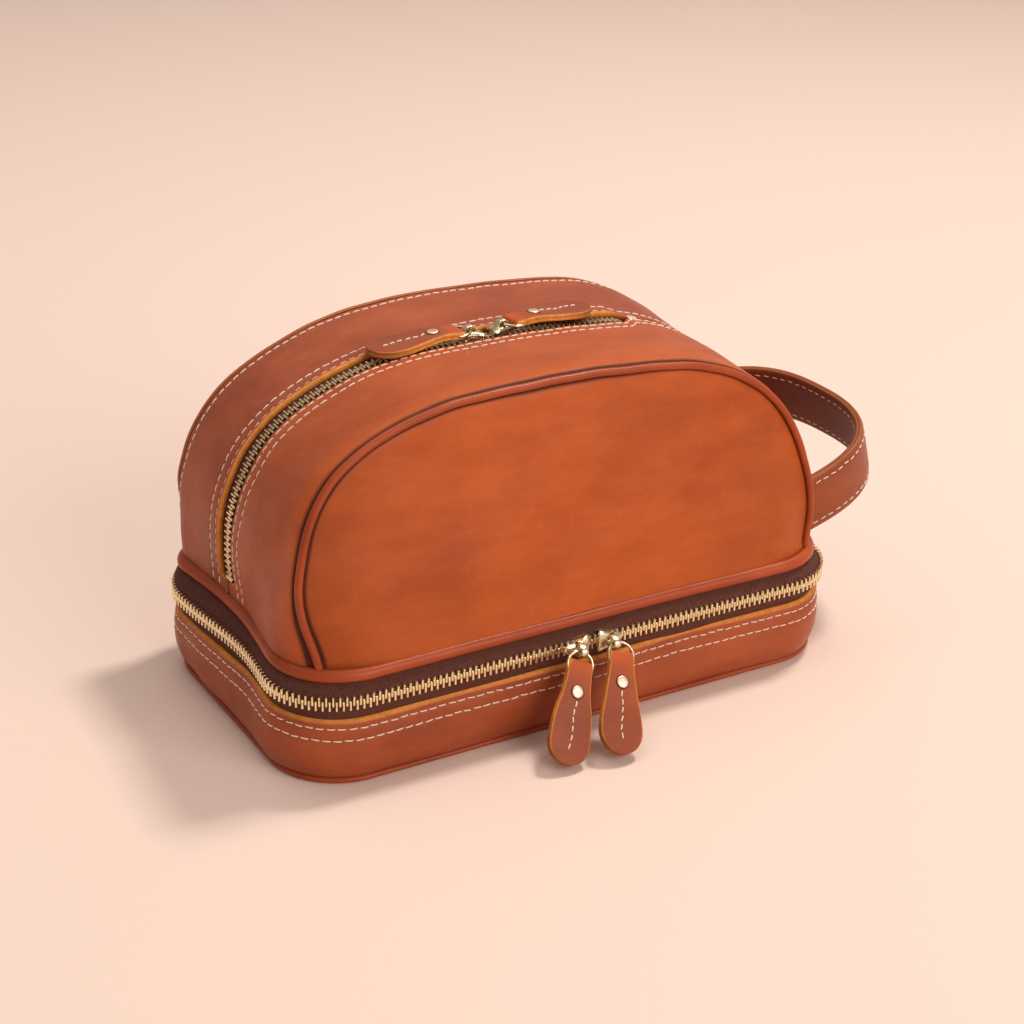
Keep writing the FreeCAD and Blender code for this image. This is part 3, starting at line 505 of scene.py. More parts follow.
def plan_sheet(name, z, out, thickness, material, **words):
    """A flat sheet that fills the outline."""
    s = np.linspace(0, ROUND, 260, endpoint=False)
    edge = outline(s, z, out)
    middle = np.array([0.0, 0.0, z])
    points = []
    for low in (0.0, thickness):
        for share in (1.0, 0.93, 0.75, 0.5, 0.25):
            points.append(middle + (edge - middle) * share + [0, 0, low])
    stack = np.concatenate(points)
    n = len(s)
    faces = grid(5, n, False, True) + grid(5, n, False, True, 5 * n)
    faces += [(j, (j + 1) % n, 5 * n + (j + 1) % n, 5 * n + j) for j in range(n)]
    faces += [tuple(4 * n + j for j in range(n)), tuple(9 * n + j for j in range(n))]
    return make(name, stack, faces, material, **words)


# ---------------------------------------------------------------- base tray

LEATHER = 2.0
BAND_ROWS = (24.2, 19.7)


def band_out(z):
    """How far the band's outside stands out from the outline."""
    return float(np.interp(z, (2.2, 3.0, 4.5, 7.0, 11.0, 16.0, 22.0, 27.0),
                           (-1.5, -0.9, -0.1, 0.6, 1.2, 1.35, 0.8, -0.2)))


def build_tray():
    heights = [2.2, 2.6, 3.2, 4.0, 5.2, 6.6, 8.6, 11.0, 14.0, 17.0, 18.9, 19.4, 19.7, 20.0, 20.5, 22.0, 23.4,
               23.9, 24.2, 24.5, 25.0, 25.9, 26.5]
    outer = [(z, band_out(z) - 0.3 * sum(hump(z, row, 0.4) for row in BAND_ROWS)) for z in heights]
    lip = band_out(27.0)
    top = [(27.35, lip - 0.75), (27.6, lip - 1.5), (27.3, lip - LEATHER - 0.1)]
    inner = [(z, band_out(z) - LEATHER) for z in (22.0, 15.0, 8.0, 3.2)]
    profile = outer + top + inner
    raw = [0] * (len(outer) - 1) + [0.5, 1, 1, 1] + [0.6] * len(inner)
    # Painted shade on the band's two lowest rows, where it tucks in above the welt.
    shade = [0.55, 0.2] + [0] * (len(profile) - 2)
    round_sweep("base_band", profile, COGNAC, body="base",
                loose=0.5, seed=3, raw=raw, shade=shade)
    round_sweep("base_welt", oval(1.25, -1.9, 1.2, 1.6, 14), PIPING, body="base")
    wall = [(3.9, -2.6), (14.0, -1.4), (26.4, -2.5), (26.4, -3.1), (14.0, -2.0), (4.5, -3.4), (3.9, -6.0)]
    round_sweep("tray_lining", wall, LINING, body="base", also=["base_lining"], loose=0.3, seed=3)
    plan_sheet("tray_lining_floor", 3.6, -3.4, 0.5, LINING, body="base")

    s = np.arange(0, ROUND, 1.0)
    rows = []
    for z in BAND_ROWS:
        path = outline(s, z, band_out(z) - 0.18)
        push = wobble(path[:, None], 45.0, 0.5, 3)
        normal = outline_normal(s, 30.0)
        path = path + push * normal
        rows.append((path, normal))
    stitches("base_band_stitches", rows, "base")


# The zip round the base runs from one end of the rear hinge strip to the other.
HINGE_HALF = 94.5
STRIP_HALF = HINGE_HALF + 2.2
ZIP_START, ZIP_END = HINGE_HALF + 0.5, ROUND - HINGE_HALF - 0.5
CHAIN_HEIGHT = 35.8
PITCH = 2.54


def tape_profile(pairs, thickness=0.7, count=16):
    """A tape's closed section from the run of its middle, with its across map."""
    run = curve_profile(pairs, count)
    slope = unit(np.gradient(run, axis=0))
    across = lengths(run)
    normal = np.stack([-slope[:, 1], slope[:, 0]], 1)
    section = np.vstack([run + normal * thickness / 2, (run - normal * thickness / 2)[::-1]])
    return section, np.concatenate([across, across[::-1]])


def tooth(centre, along, side, out, hand, length=3.3, width=0.98, tall=1.5):
    """One metal tooth: a rod across the chain with a rounded head past the middle."""
    profile = [(-0.75, 0.62, 0.75), (-0.6, 0.9, 1.0), (1.4, 0.9, 0.98), (length - 1.0, 1.02, 1.0),
               (length - 0.35, 1.0, 0.92), (length - 0.1, 0.62, 0.6)]
    points = []
    for across, wide, high in profile:
        for a, b in ((-1, -1), (-1, 0.55), (-0.6, 1), (0.6, 1), (1, 0.55), (1, -1)):
            points.append(centre + side * hand * (length - 0.75 - across - 0.45) + along * a * width / 2 * wide
                          + out * b * tall / 2 * high)
    return points


def strand(name, path, side, out, hand, phase, body, also=(), span=None):
    """A strand of teeth on one side of the chain's middle line. span limits it, in mm along the path."""
    run = lengths(path)
    low, high = span or (2.0, run[-1] - 2.0)
    along = unit(np.gradient(path, axis=0))
    points, faces = [], []
    for place in np.arange(low + phase * PITCH, high, PITCH):
        faces += tube_faces(6, 6, False, len(points))
        axes = [unit(follow(field, run, place)) for field in (along, side, out)]
        points += tooth(follow(path, run, place), *axes, hand)
    return make(name, points, faces, TEETH, body=body, also=also, flat=True)


def build_base_zip():
    s = np.arange(ZIP_START, ZIP_END, 1.0)
    path = outline(s, CHAIN_HEIGHT, 0.15)
    out = outline_normal(s, CHAIN_HEIGHT)
    up = np.broadcast_to([0.0, 0.0, 1.0], path.shape)
    lower = [(17.0, -2.6), (24.0, -2.2), (28.5, -1.7), (32.0, -0.7), (35.3, -0.15)]
    upper = [(36.3, -0.15), (38.5, -0.3), (41.0, -1.1), (43.2, -2.6), (45.5, -4.2)]
    for side, hand, phase, body, run in (("lower", -1, 0.0, "base", lower), ("upper", 1, 0.5, "upper_case", upper)):
        section, across = tape_profile(run)
        round_sweep(f"base_zip_{side}_tape", section, TAPE, ZIP_START, ZIP_END, across=across, body=body,
                    loose=0.15, seed=5)
        strand(f"base_zip_{side}_teeth", path, up, out, hand, phase, body, also=[f"base_zip_{side}_stops"])
        round_sweep(f"base_zip_{side}_bead", oval(CHAIN_HEIGHT + 1.4 * hand, 0.35, 0.42, 0.42, 7), TAPE,
                    ZIP_START, ZIP_END, body=body, across=np.linspace(0, 2.6, 7))


# ---------------------------------------------------------------- upper case

CASE_FOOT = 46.0
PIPE = 1.6
SLIT_Y = 14.0
SLIT_HALF = 6.1
# Depth share, half width to the left and to the right, height, then how full each side is
# across and upwards.
ARCHES = np.array([
    [0.0, 120.6, 118.0, 92.2, 3.3, 3.3, 2.95, 2.85],
    [0.30, 120.6, 121.0, 91.6, 3.0, 3.1, 2.95, 2.9],
    [0.55, 120.2, 123.0, 90.9, 2.6, 3.0, 3.1, 2.9],
    [0.8, 119.6, 124.0, 91.3, 2.2, 3.1, 3.2, 2.9],
    [1.0, 119.4, 123.2, 92.6, 2.03, 3.1, 3.25, 2.9],
])
ARCH_STEPS = 900


def super_arch(left, right, height, across_left, up_left, across_right, up_right):
    """Points of one arch at even shares of its length, from its left foot to its right foot."""
    angle = np.linspace(0, math.pi / 2, 1400)
    halves = []
    for width, across, up in ((-left, across_left, up_left), (right, across_right, up_right)):
        x = width * np.cos(angle) ** (2 / across)
        z = height * np.sin(angle) ** (2 / up)
        halves.append(np.stack([x, z], 1))
    path = np.vstack([halves[0], halves[1][::-1][1:]])
    run = lengths(path)
    return follow(path, run, np.linspace(0, run[-1], ARCH_STEPS + 1))


SHARES = np.linspace(0, 1, 13)
ARCH_TABLE = np.stack([super_arch(*follow(ARCHES[:, 1:], ARCHES[:, 0], share)) for share in SHARES])
ARCH_LENGTH = lengths(ARCH_TABLE[len(SHARES) // 2])[-1]


def foot_tables():
    """x of the upper case's foot on the left and on the right, by y."""
    s = np.arange(0, ROUND, 0.5)
    ring = outline(s, CASE_FOOT, -0.9)
    tables = []
    for hand in (-1, 1):
        half = ring[ring[:, 0] * hand > 60]
        order = np.argsort(half[:, 1])
        half = half[order]
        tables.append((half[:, 1], half[:, 0]))
    front = ring[ring[:, 1] < -40]
    return tables, front[np.argsort(front[:, 0])]


FEET, FRONT_FOOT = foot_tables()


def front_plane(rise):
    return -56.2 + 0.148 * np.asarray(rise)


def rear_plane(rise):
    return 64.2 + 0.028 * np.asarray(rise)


def shell_base(v, y):
    """The upper case's skin at share v along the arch and at depth y, without its softness."""
    v, y = np.broadcast_arrays(np.asarray(v, float), np.asarray(y, float))
    at = np.clip(v, 0, 1) * ARCH_STEPS
    i = np.minimum(at.astype(int), ARCH_STEPS - 1)
    rise_guess = ARCH_TABLE[6, i, 1]
    low, high = front_plane(rise_guess), rear_plane(rise_guess)
    w = np.clip((y - low) / (high - low), 0, 1) * (len(SHARES) - 1)
    k = np.minimum(w.astype(int), len(SHARES) - 2)
    tv, tw = (at - i)[..., None], (w - k)[..., None]
    near = ARCH_TABLE[k, i] * (1 - tv) + ARCH_TABLE[k, i + 1] * tv
    far = ARCH_TABLE[k + 1, i] * (1 - tv) + ARCH_TABLE[k + 1, i + 1] * tv
    place = near * (1 - tw) + far * tw
    x, rise = place[..., 0], place[..., 1]
    foot = ARCH_TABLE[k, 0, 0] * (1 - tw[..., 0]) + ARCH_TABLE[k + 1, 0, 0] * tw[..., 0]
    foot_right = ARCH_TABLE[k, -1, 0] * (1 - tw[..., 0]) + ARCH_TABLE[k + 1, -1, 0] * tw[..., 0]
    left = np.interp(y, *FEET[0]) - foot
    right = np.interp(y, *FEET[1]) - foot_right
    pull_in = np.where(v < 0.5, left, right) * step(1 - rise / 34.0, 0, 1)
    return np.stack([x + pull_in, y, CASE_FOOT + rise], -1)


def shell(v, y, lift=0.0):
    """The upper case's skin, with its crown between seams and its unevenness, moved out by lift."""
    v, y, lift = np.broadcast_arrays(np.asarray(v, float), np.asarray(y, float), np.asarray(lift, float))
    place = shell_base(v, y)
    dv = shell_base(v + 0.002, y) - shell_base(v - 0.002, y)
    dy = shell_base(v, y + 0.4) - shell_base(v, y - 0.4)
    out = unit(np.cross(dy, dv))
    flip = np.sign((out * (place - np.array([0, 0, CASE_FOOT + 20.0]))).sum(-1))
    out = out * np.where(flip == 0, 1, flip)[..., None]
    rise = place[..., 2] - CASE_FOOT
    front, rear = front_plane(rise), rear_plane(rise)
    crown = np.sin(np.clip((y - front) / (SLIT_Y - front), 0, 1) * math.pi) + 0.8 * np.sin(
        np.clip((y - SLIT_Y) / (rear - SLIT_Y), 0, 1) * math.pi)
    soft = crown * (0.9 - 0.5 * step(rise, 60, 88)) * step(rise, 0, 30)
    soft = soft + wobble(place, 62.0, 0.55, 11) * step(rise, 1, 18) + wobble(place, 20.0, 0.10, 12)
    behind = np.clip(y - front, 0, None)
    seam = -1.6 * np.exp(-behind / 1.9) - 0.7 * hump(behind, 1.7, 0.7) - 0.9 * np.exp(-np.clip(rear - y, 0, None))
    return place + out * (soft + seam + lift)[..., None], out


def slit_half(v, blunt=True):
    """Half the width of the top zip's slit along the arch; blunt ends it above the left foot."""
    x = shell_base(v, SLIT_Y)
    opening = step(x[..., 2], CASE_FOOT + 5.5, CASE_FOOT + 7.5) if blunt else 1.0
    closing = 1 - step(x[..., 0], 58.0, 65.0)
    return 0.18 + SLIT_HALF * opening * closing


GUSSET_ROWS = (2.3, 7.4)
HALF_SHARES = np.linspace(0.5, 0.9, 400)


def gusset(name, front_half):
    """Half of the gusset, from a seam to the slit, as a sheet of leather with cut edges."""
    v = np.linspace(0.001, 0.999, 470)
    rise = shell_base(v, SLIT_Y)[..., 2] - CASE_FOOT
    half, row_half = slit_half(v), slit_half(v, False)
    if front_half:
        edge, seam = SLIT_Y - half, front_plane(rise) + 0.2
    else:
        edge, seam = SLIT_Y + half, rear_plane(rise) - 0.1
    near = np.array([0.0, 0.35, 0.8, 1.3, 1.8, 2.3, 2.8, 3.6, 5.2, 6.8, 7.4, 8.0, 9.0])
    far = np.array([0.0, 0.5, 0.9, 1.2, 1.5, 1.8, 2.2, 2.8, 3.7, 4.6, 6.0, 8.5, 12.0])
    width = np.abs(seam - edge)
    hand = -1 if front_half else 1
    middle = np.linspace(0, 1, 20)[1:-1]
    columns = [edge + hand * d for d in near]
    columns += [edge + hand * (near[-1] + (width - near[-1] - far[-1]) * m) for m in middle]
    columns += [seam - hand * d for d in far[::-1]]
    depth = np.stack(columns, 1)
    from_edge = np.abs(depth - edge[:, None])
    from_seam = np.abs(depth - seam[:, None])
    from_row = np.abs(depth - SLIT_Y) - row_half[:, None]
    groove = sum(0.28 * hump(from_row, row, 0.55) for row in GUSSET_ROWS)
    if not front_half:
        groove = groove + 0.28 * hump(from_seam, 3.6, 0.6) - 0.5 * hump(from_edge, 0, 3.0)
    rolled = 0.25 * hump(from_edge, 0, 0.35)
    outer, _ = shell(v[:, None], depth, -groove - rolled)
    inner, _ = shell(v[:, None], depth, -2.1)
    sheet = np.concatenate([outer, inner[:, ::-1]], 1)
    rows, columns_all = sheet.shape[:2]
    n = depth.shape[1]
    raw = np.zeros((rows, columns_all))
    warm = np.zeros((rows, columns_all))
    if front_half:
        warm[:, :n] = 0.38 + 0.5 * hump(from_seam, 3.0, 9.0)
    open_here = np.clip(half / SLIT_HALF, 0, 1)
    raw[:, 0] = open_here
    raw[:, 1] = 0.55 * open_here
    raw[:, -1] = open_here
    raw[:, -2] = 0.8 * open_here
    # Painted shade: a dark line in the groove at the seam, beside the piping at the front, and darkening along the
    # foot above the body welt.
    shade = np.zeros_like(raw)
    clear = 2.1 if front_half else 0.0
    shade[:, :n] = 0.95 * hump(np.clip(from_seam, clear, None), clear, 0.75)
    low = np.exp(-(outer[..., 2] - CASE_FOOT) / 1.2)
    shade[:, :n] = np.maximum(shade[:, :n], np.clip(0.8 * low, 0, 0.8))
    return make(name, sheet, tube_faces(rows, columns_all, False), COGNAC, body="upper_case",
                raw=raw, shade=shade, warm=warm)


def seam_path():
    """The front panel's seam: (x, rise) from its left foot over the arch to its right foot."""
    v = np.linspace(0, 1, 520)
    rise = shell_base(v, 0.0)[:, 2] - CASE_FOOT
    place, _ = shell(v, front_plane(rise) + 0.2)
    path = place[:, [0, 2]] - [0, CASE_FOOT]
    along = unit(np.gradient(path, axis=0))
    inward = np.stack([along[:, 1], -along[:, 0]], 1)
    return path, inward


SEAM, SEAM_IN = seam_path()


def panel_depth(x, rise):
    """Depth of the front panel's face: full at its foot, drawn back towards its arch."""
    half, top = 115.0, 87.2
    power = np.where(x < 0, 3.35, 2.9)
    radial = ((np.abs(x) / half) ** power + (np.clip(rise, 0, None) / top) ** power) ** (1 / power)
    radial = np.clip(radial, 0, 1)
    foot = np.interp(x, FRONT_FOOT[:, 0], FRONT_FOOT[:, 1])
    reach = np.clip(front_plane(0) - foot, 0, None)
    bulge = reach * np.exp(-(np.clip(rise, 0, None) / 34.0) ** 1.4) * (1 - radial ** 8)
    bulge = bulge + 3.2 * (1 - radial ** 2.2) * step(rise, 0, 30)
    place = np.stack([x, 0 * x, rise + 100], -1)
    bulge = bulge + wobble(place, 70.0, 0.55, 21) * (1 - radial ** 4) + wobble(place, 26.0, 0.12, 22)
    return front_plane(rise) - bulge


def d_sheet(name, edge, depth, thickness, material, rear=False):
    """A D-shaped sheet inside the closed (x, rise) edge."""
    centre = np.array([0.0, 38.0])
    shares = np.concatenate([np.linspace(0.03, 0.9, 40), np.linspace(0.9, 1, 24)[1:]])
    flat = centre + (edge[None] - centre) * shares[:, None, None]
    x, rise = flat[..., 0], flat[..., 1]
    y = depth(x, rise)
    face = np.stack([x, y, rise + CASE_FOOT], -1)
    back = face + [0, -thickness if rear else thickness, 0]
    rows, columns = face.shape[:2]
    points = np.concatenate([face.reshape(-1, 3), back.reshape(-1, 3)])
    first = rows * columns
    faces = grid(rows, columns, False, True) + grid(rows, columns, False, True, first)
    faces += [tuple(range(columns)), tuple(first + j for j in range(columns))]
    last = (rows - 1) * columns
    faces += [(last + j, last + (j + 1) % columns, first + last + (j + 1) % columns, first + last + j)
              for j in range(columns)]
    raw = np.zeros(len(points))
    if rear:
        raw[last:first] = 0.1
        raw[first + last:] = 0.15
    shade = np.zeros(len(points))
    if not rear:
        gap = np.linalg.norm(flat[-1][None] - flat, axis=-1)
        lip = step(rise, 0.5, 3.5)
        face[..., 1] += 1.1 * hump(gap, 0, 2.6) * lip
        points[:first] = face.reshape(-1, 3)
        points[first:] = (face + [0, thickness, 0]).reshape(-1, 3)
        # Painted shade: a dark line in the groove inside the piping, and painted shade growing towards the panel's
        # sides, its left edge and its foot, with a little random blotching of the leather's own tone.
        seam = 1.65 - 0.55 * x / 115.0
        line = 0.95 * hump(np.clip(gap - seam, 0, None), 0, 0.7)
        shade_and_blotches = 0.20 * (np.abs(x) / 115.0) ** 2 + 0.10 * (1 - rise / 92.0) + 0.12 * step(-x, 55, 110)
        shade_and_blotches = shade_and_blotches + wobble(face, 48.0, 0.06, 23)
        shade[:first] = np.clip(np.maximum(line, shade_and_blotches), 0, 1).ravel()
    return make(name, points, faces, material, body="upper_case", raw=raw, shade=shade)


def closed_edge(path):
    """An arch path made into a closed loop by its foot line."""
    foot = np.linspace(path[-1], path[0], 150)[1:-1]
    return np.vstack([path, foot])


def build_case():
    gusset("front_gusset", True)
    gusset("rear_gusset", False)

    inner = SEAM + SEAM_IN * 1.2
    inner = inner[(inner[:, 1] > -0.5)]
    inner[0, 1] = inner[-1, 1] = -1.5
    d_sheet("front_panel", closed_edge(inner), panel_depth, 2.0, FRONT)

    middle = SEAM + SEAM_IN * 0.65
    keep = (middle[:, 1] > -1.8)
    middle, inward = middle[keep], SEAM_IN[keep]
    path = np.stack([middle[:, 0], front_plane(middle[:, 1]) + 0.35, middle[:, 1] + CASE_FOOT], 1)
    path = path + wobble(path, 30.0, 0.12, 31)[:, None] * [0, 1, 0]
    out = np.stack([-inward[:, 0] * 0, np.full(len(inward), -1.0), inward[:, 1] * 0], 1)
    section = rounded(PIPE, PIPE - 0.1, 2.0, 18)
    sweep("front_piping", path, out, section, PIPING, body="upper_case")

    v = np.linspace(0, 1, 420)
    rise = shell_base(v, 60.0)[:, 2] - CASE_FOOT
    back_edge, _ = shell(v, rear_plane(rise) - 0.1, 0.55)
    edge = closed_edge(back_edge[:, [0, 2]] - [0, CASE_FOOT])

    def rear_depth(x, rise):
        radial = np.clip(np.hypot(x / 120.0, (rise - 30) / 62.0), 0, 1)
        place = np.stack([x, 0 * x, rise], -1)
        crown = 2.0 * (1 - radial ** 2) * step(rise, 0, 25)
        return rear_plane(rise) + 1.8 + crown + wobble(place, 60.0, 0.4, 41) * step(rise, 6, 20)

    d_sheet("rear_panel", edge, rear_depth, 1.8, COGNAC, rear=True)

    round_sweep("body_welt", oval(44.3, -1.5, 2.25, 2.1, 18), PIPING, body="upper_case", loose=0.25, seed=6)
    plan_sheet("divider_floor", 43.2, -4.4, 2.0, COGNAC, body="upper_case")

    lining_v = np.linspace(0.002, 0.998, 160)
    near = front_plane(shell_base(lining_v, 0.0)[:, 2] - CASE_FOOT) + 5.0
    depth = near[:, None] + (62.0 - near[:, None]) * np.linspace(0, 1, 30)[None]
    # It keeps clear of the top zip's sliders and of the strap's roots.
    x = shell_base(lining_v[:, None], depth)[..., 0]
    clear = 2.8 * np.exp(-((depth - SLIT_Y) / 8.0) ** 4) + 3.0 * step(x, 104, 116)
    outer, _ = shell(lining_v[:, None], depth, -3.4 - clear)
    inner_skin, _ = shell(lining_v[:, None], depth, -4.0 - clear)
    skin = np.concatenate([outer, inner_skin[:, ::-1]], 1)
    make("case_lining", skin, tube_faces(*skin.shape[:2], False), LINING, body="upper_case")

    rows = []
    fine = np.linspace(0.004, 0.996, 900)
    rise = shell_base(fine, SLIT_Y)[..., 2] - CASE_FOOT
    half = slit_half(fine, False)
    for row in GUSSET_ROWS:
        rows.append(shell(fine, SLIT_Y - half - row, -0.22))
        rows.append(shell(fine, SLIT_Y + half + row, -0.22))
    rows.append(shell(fine, rear_plane(rise) - 3.7, -0.22))
    stitches("case_stitches", rows, "upper_case")


def build_top_zip():
    v = np.linspace(0, 1, 900)
    place = shell_base(v, SLIT_Y)
    keep = (place[:, 2] > CASE_FOOT + 4.5) & ((place[:, 0] < 66.0) | (v < 0.5))
    v = v[keep]
    across = np.linspace(-8.5, 8.5, 13)
    for side, mask in (("front", across <= 0.1), ("rear", across >= -0.1)):
        wide = across[mask].copy()
        wide[np.argmin(abs(wide))] = -0.35 if side == "front" else 0.35
        top, _ = shell(v[:, None], SLIT_Y + wide[None], -2.25)
        low, _ = shell(v[:, None], SLIT_Y + wide[None], -2.95)
        skin = np.concatenate([top, low[:, ::-1]], 1)
        along = v[:, None] * ARCH_LENGTH
        chart = np.stack(np.broadcast_arrays(along, np.concatenate([wide, wide[::-1]])[None]), -1)
        make(f"top_zip_{side}_tape", skin, tube_faces(*skin.shape[:2], False), TAPE, body="upper_case",
             chart=chart)
    path, out = shell(v, SLIT_Y, -1.6)
    side = np.broadcast_to([0.0, 1.0, 0.0], path.shape)
    run = lengths(path)
    ends = (3.0, run[-1] - 5.0)
    strand("top_zip_front_teeth", path, side, out, -1, 0.0, "upper_case", span=ends)
    strand("top_zip_rear_teeth", path, side, out, 1, 0.5, "upper_case", span=ends)
    bars = []
    for place_x in (64.4, 65.5, 66.6, 67.7):
        share = np.interp(place_x, shell_base(HALF_SHARES, SLIT_Y)[:, 0], HALF_SHARES)
        bars.append(shell(np.full(12, share), SLIT_Y + np.linspace(-2.9, 2.9, 12)))
    stitches("top_zip_bar", bars, "upper_case", length=5.0, pitch=5.4, radius=0.36)
    at = np.searchsorted(run, 2.4)
    bar = np.linspace(-2.3, 2.3, 9)
    bar_path = path[at] + out[at] * 0.5 + np.outer(bar, [0.0, 1.0, 0.0])
    outward = np.broadcast_to(out[at], bar_path.shape)
    sweep("top_zip_end_bar", bar_path, outward, rounded(0.85, 1.0, 2.6, 12), TEETH,
          body="upper_case")


# ---------------------------------------------------------------- hinge strip and side strap

def build_hinge():
    x = np.linspace(-STRIP_HALF, STRIP_HALF, 150)
    heights = np.concatenate([np.linspace(17, 31, 9), np.linspace(32.5, 39.5, 15), np.linspace(41, 53, 8)])
    bend = 0.9 * hump(heights, 36.0, 4.0)
    front = 67.75 + 0 * heights + bend
    loose = 0.25 * np.sin(x / 23.0) + 0.15 * np.sin(x / 9.0 + 1.0)
    face = np.stack(np.broadcast_arrays(x[:, None], (front + 1.8)[None] + loose[:, None] * 0.6, heights[None]), -1)
    back = np.stack(np.broadcast_arrays(x[:, None], front[None] + 0 * x[:, None], heights[None]), -1)
    skin = np.concatenate([face, back[:, ::-1]], 1)
    raw = np.zeros(skin.shape[:2])
    n = len(heights)
    raw[:, [0, n - 1, n, -1]] = 1.0
    raw[[0, -1]] = 1.0
    strip = make("hinge_strip", skin, tube_faces(*skin.shape[:2], False), HINGE,
                 also=["hinge_strip_lower", "hinge_strip_upper"], raw=raw)
    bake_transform(strip)
    for body, rows in (("base", (19.5, 23.5)), ("upper_case", (50.8,))):
        paths = []
        for z in rows:
            path = np.stack([x[1:-1], 69.6 + loose[1:-1] * 0.6, np.full(len(x) - 2, z)], 1)
            paths.append((path, np.broadcast_to([0.0, 1.0, 0.0], path.shape)))
        stitches(f"hinge_stitches_{body}", paths, body)


STRAP_WIDE, STRAP_LAYER, STRAP_ROW = 24.0, 1.75, 3.0
STRAP_TILT = math.radians(15.6)


def strap_path(count=220):
    """The side strap's middle line and its outward direction."""
    t = np.linspace(0, math.pi, 1200)
    c, s = np.cos(t), np.sin(t)
    power = 2 / 2.7
    y = 9.9 - 55.4 * np.sign(c) * abs(c) ** power
    reach = 51.5 * s ** power
    x = 119.5 + reach
    z = 59.5 + 14.7 * reach / 52.6
    path = resample(np.stack([x, y, z], 1), 200.0 / count)
    along = unit(np.gradient(path, axis=0))
    wide = np.array([-math.sin(STRAP_TILT), 0.0, math.cos(STRAP_TILT)])
    out = unit(np.cross(along, wide))
    return path, out


def build_strap():
    path, out = strap_path()
    if (out[len(out) // 2] @ np.array([1.0, 0, 0])) < 0:
        out = -out
    twist = wobble(path, 90.0, 0.6, 51)
    path = path + out * twist[:, None]
    half = STRAP_WIDE / 2
    edge_places = np.array([0.88, 0.95, 0.985, 1])
    across = np.concatenate([-edge_places[::-1], np.linspace(-0.8, 0.8, 13), edge_places]) * half

    crown = 0.25 * (1 - (np.abs(across) / half) ** 6)
    fall = 0.55 * (np.abs(across) / half) ** 14
    groove = sum(0.22 * hump(across, row, 0.6) for row in (-half + STRAP_ROW, half - STRAP_ROW))
    top = np.stack([STRAP_LAYER + crown - fall - groove, across], 1)
    bottom = np.stack([0.0 * across, across], 1)
    layer = np.vstack([top, bottom[::-1]])

    edge = np.clip((np.abs(across) / half - 0.93) / 0.05, 0, 1)
    raw_line = np.concatenate([edge * 0.12, edge[::-1] * 0.15])
    for name, hand, apart, material in (("outer", 1, 0.0, STRAP), ("inner", -1, 0.08, STRAP_IN)):
        sweep(f"handle_{name}_layer", path - out * apart, out, layer * [hand, 1], material, body="handle",
              raw=np.tile(raw_line, (len(path), 1)))
    along = unit(np.gradient(path, axis=0))
    side = unit(np.cross(along, out))
    lines = []
    for row in (-half + STRAP_ROW, half - STRAP_ROW):
        for hand in (1, -1):
            lines.append((path + side * row + out * hand * (STRAP_LAYER - 0.05), out * hand))
    stitches("handle_stitches", lines, "handle", pitch=4.4)


# ---------------------------------------------------------------- sliders and pulls

def place_points(points, origin, axes):
    """Points given along local axes, put at origin. axes are the three local directions."""
    return np.asarray(origin) + np.asarray(points, float) @ np.asarray(axes, float)


def slider(name, origin, along, out, body, spin, wire, room):
    """A cast zip slider: a faceted nose over the chain, side flanges and an arched bail.

    along points to the slider's wide mouth. spin turns the bail: True spans across the chain.
    wire is how far out the ring passes under the bail, which arches room higher.
    """
    side = np.cross(out, along)
    axes = (along, side, out)
    profile = [(-5.6, 0.9, 1.35, 1.9), (-5.2, 1.7, 1.2, 2.35), (-3.9, 2.3, 0.9, 2.75), (-1.5, 2.7, 0.7, 3.15),
               (0.6, 3.1, 0.7, 3.25), (2.4, 3.7, 0.7, 3.0), (3.8, 4.35, 0.6, 2.7), (4.7, 4.45, 0.55, 2.45),
               (5.2, 4.1, 0.9, 2.1), (5.3, 3.2, 1.2, 1.9)]
    points = []
    for t, wide, low, high in profile:
        right = [(0.45, high), (0.8, high - 0.45), (1.0, (high + low) / 2), (0.94, low), (0.7, low - 0.1)]
        ring = [(-0.45, high)] + right + [(-a, b) for a, b in right[:0:-1]]
        points += [(t, wide * a, b) for a, b in ring]
    faces = tube_faces(len(profile), 10, False)
    lower = [(-4.6, 1.8), (-2.0, 2.6), (1.5, 3.0), (4.4, 3.9), (4.9, 3.6)]
    first = len(points)
    for t, wide in lower:
        points += [(t, -wide, -1.3), (t, wide, -1.3), (t, wide * 0.92, -2.1), (t, -wide * 0.92, -2.1)]
    faces += tube_faces(len(lower), 4, False, first)
    for hand in (-1, 1):
        first = len(points)
        for t, wide in ((-4.4, 1.9), (0.0, 2.9), (4.3, 4.0)):
            points += [(t, hand * (wide + 0.05), 1.3), (t, hand * (wide + 0.05), -1.5),
                       (t, hand * (wide - 0.5), -1.5), (t, hand * (wide - 0.5), 1.3)]
        faces += tube_faces(3, 4, False, first)
    body_mesh = make(name, place_points(points, origin, axes), faces, SLIDER, body=body, flat=True)
    soften = body_mesh.modifiers.new("worn edges", "BEVEL")
    soften.width, soften.segments, soften.limit_method = 0.18 * MM, 2, "ANGLE"
    soften.angle_limit = math.radians(24)
    for polygon in body_mesh.data.polygons:
        polygon.use_smooth = True
    body_mesh.modifiers.new("facets", "WEIGHTED_NORMAL").keep_sharp = True

    t = np.linspace(0, math.pi, 26)
    half, tall = 2.5, wire + room - 2.2
    arch = np.stack([half * np.cos(t), 2.2 + tall * np.sin(t) ** 0.7], 1)
    zero = np.zeros(len(t))
    local = np.stack([zero, arch[:, 0], arch[:, 1]], 1) if spin else np.stack([arch[:, 0], zero, arch[:, 1]], 1)
    path = place_points(local, origin, axes)
    flat_dir = np.asarray(along if spin else side, float)
    sweep(f"{name}_bail", path, np.broadcast_to(flat_dir, path.shape), rounded(1.5, 0.42, 2.8, 16), SLIDER,
          body=body)


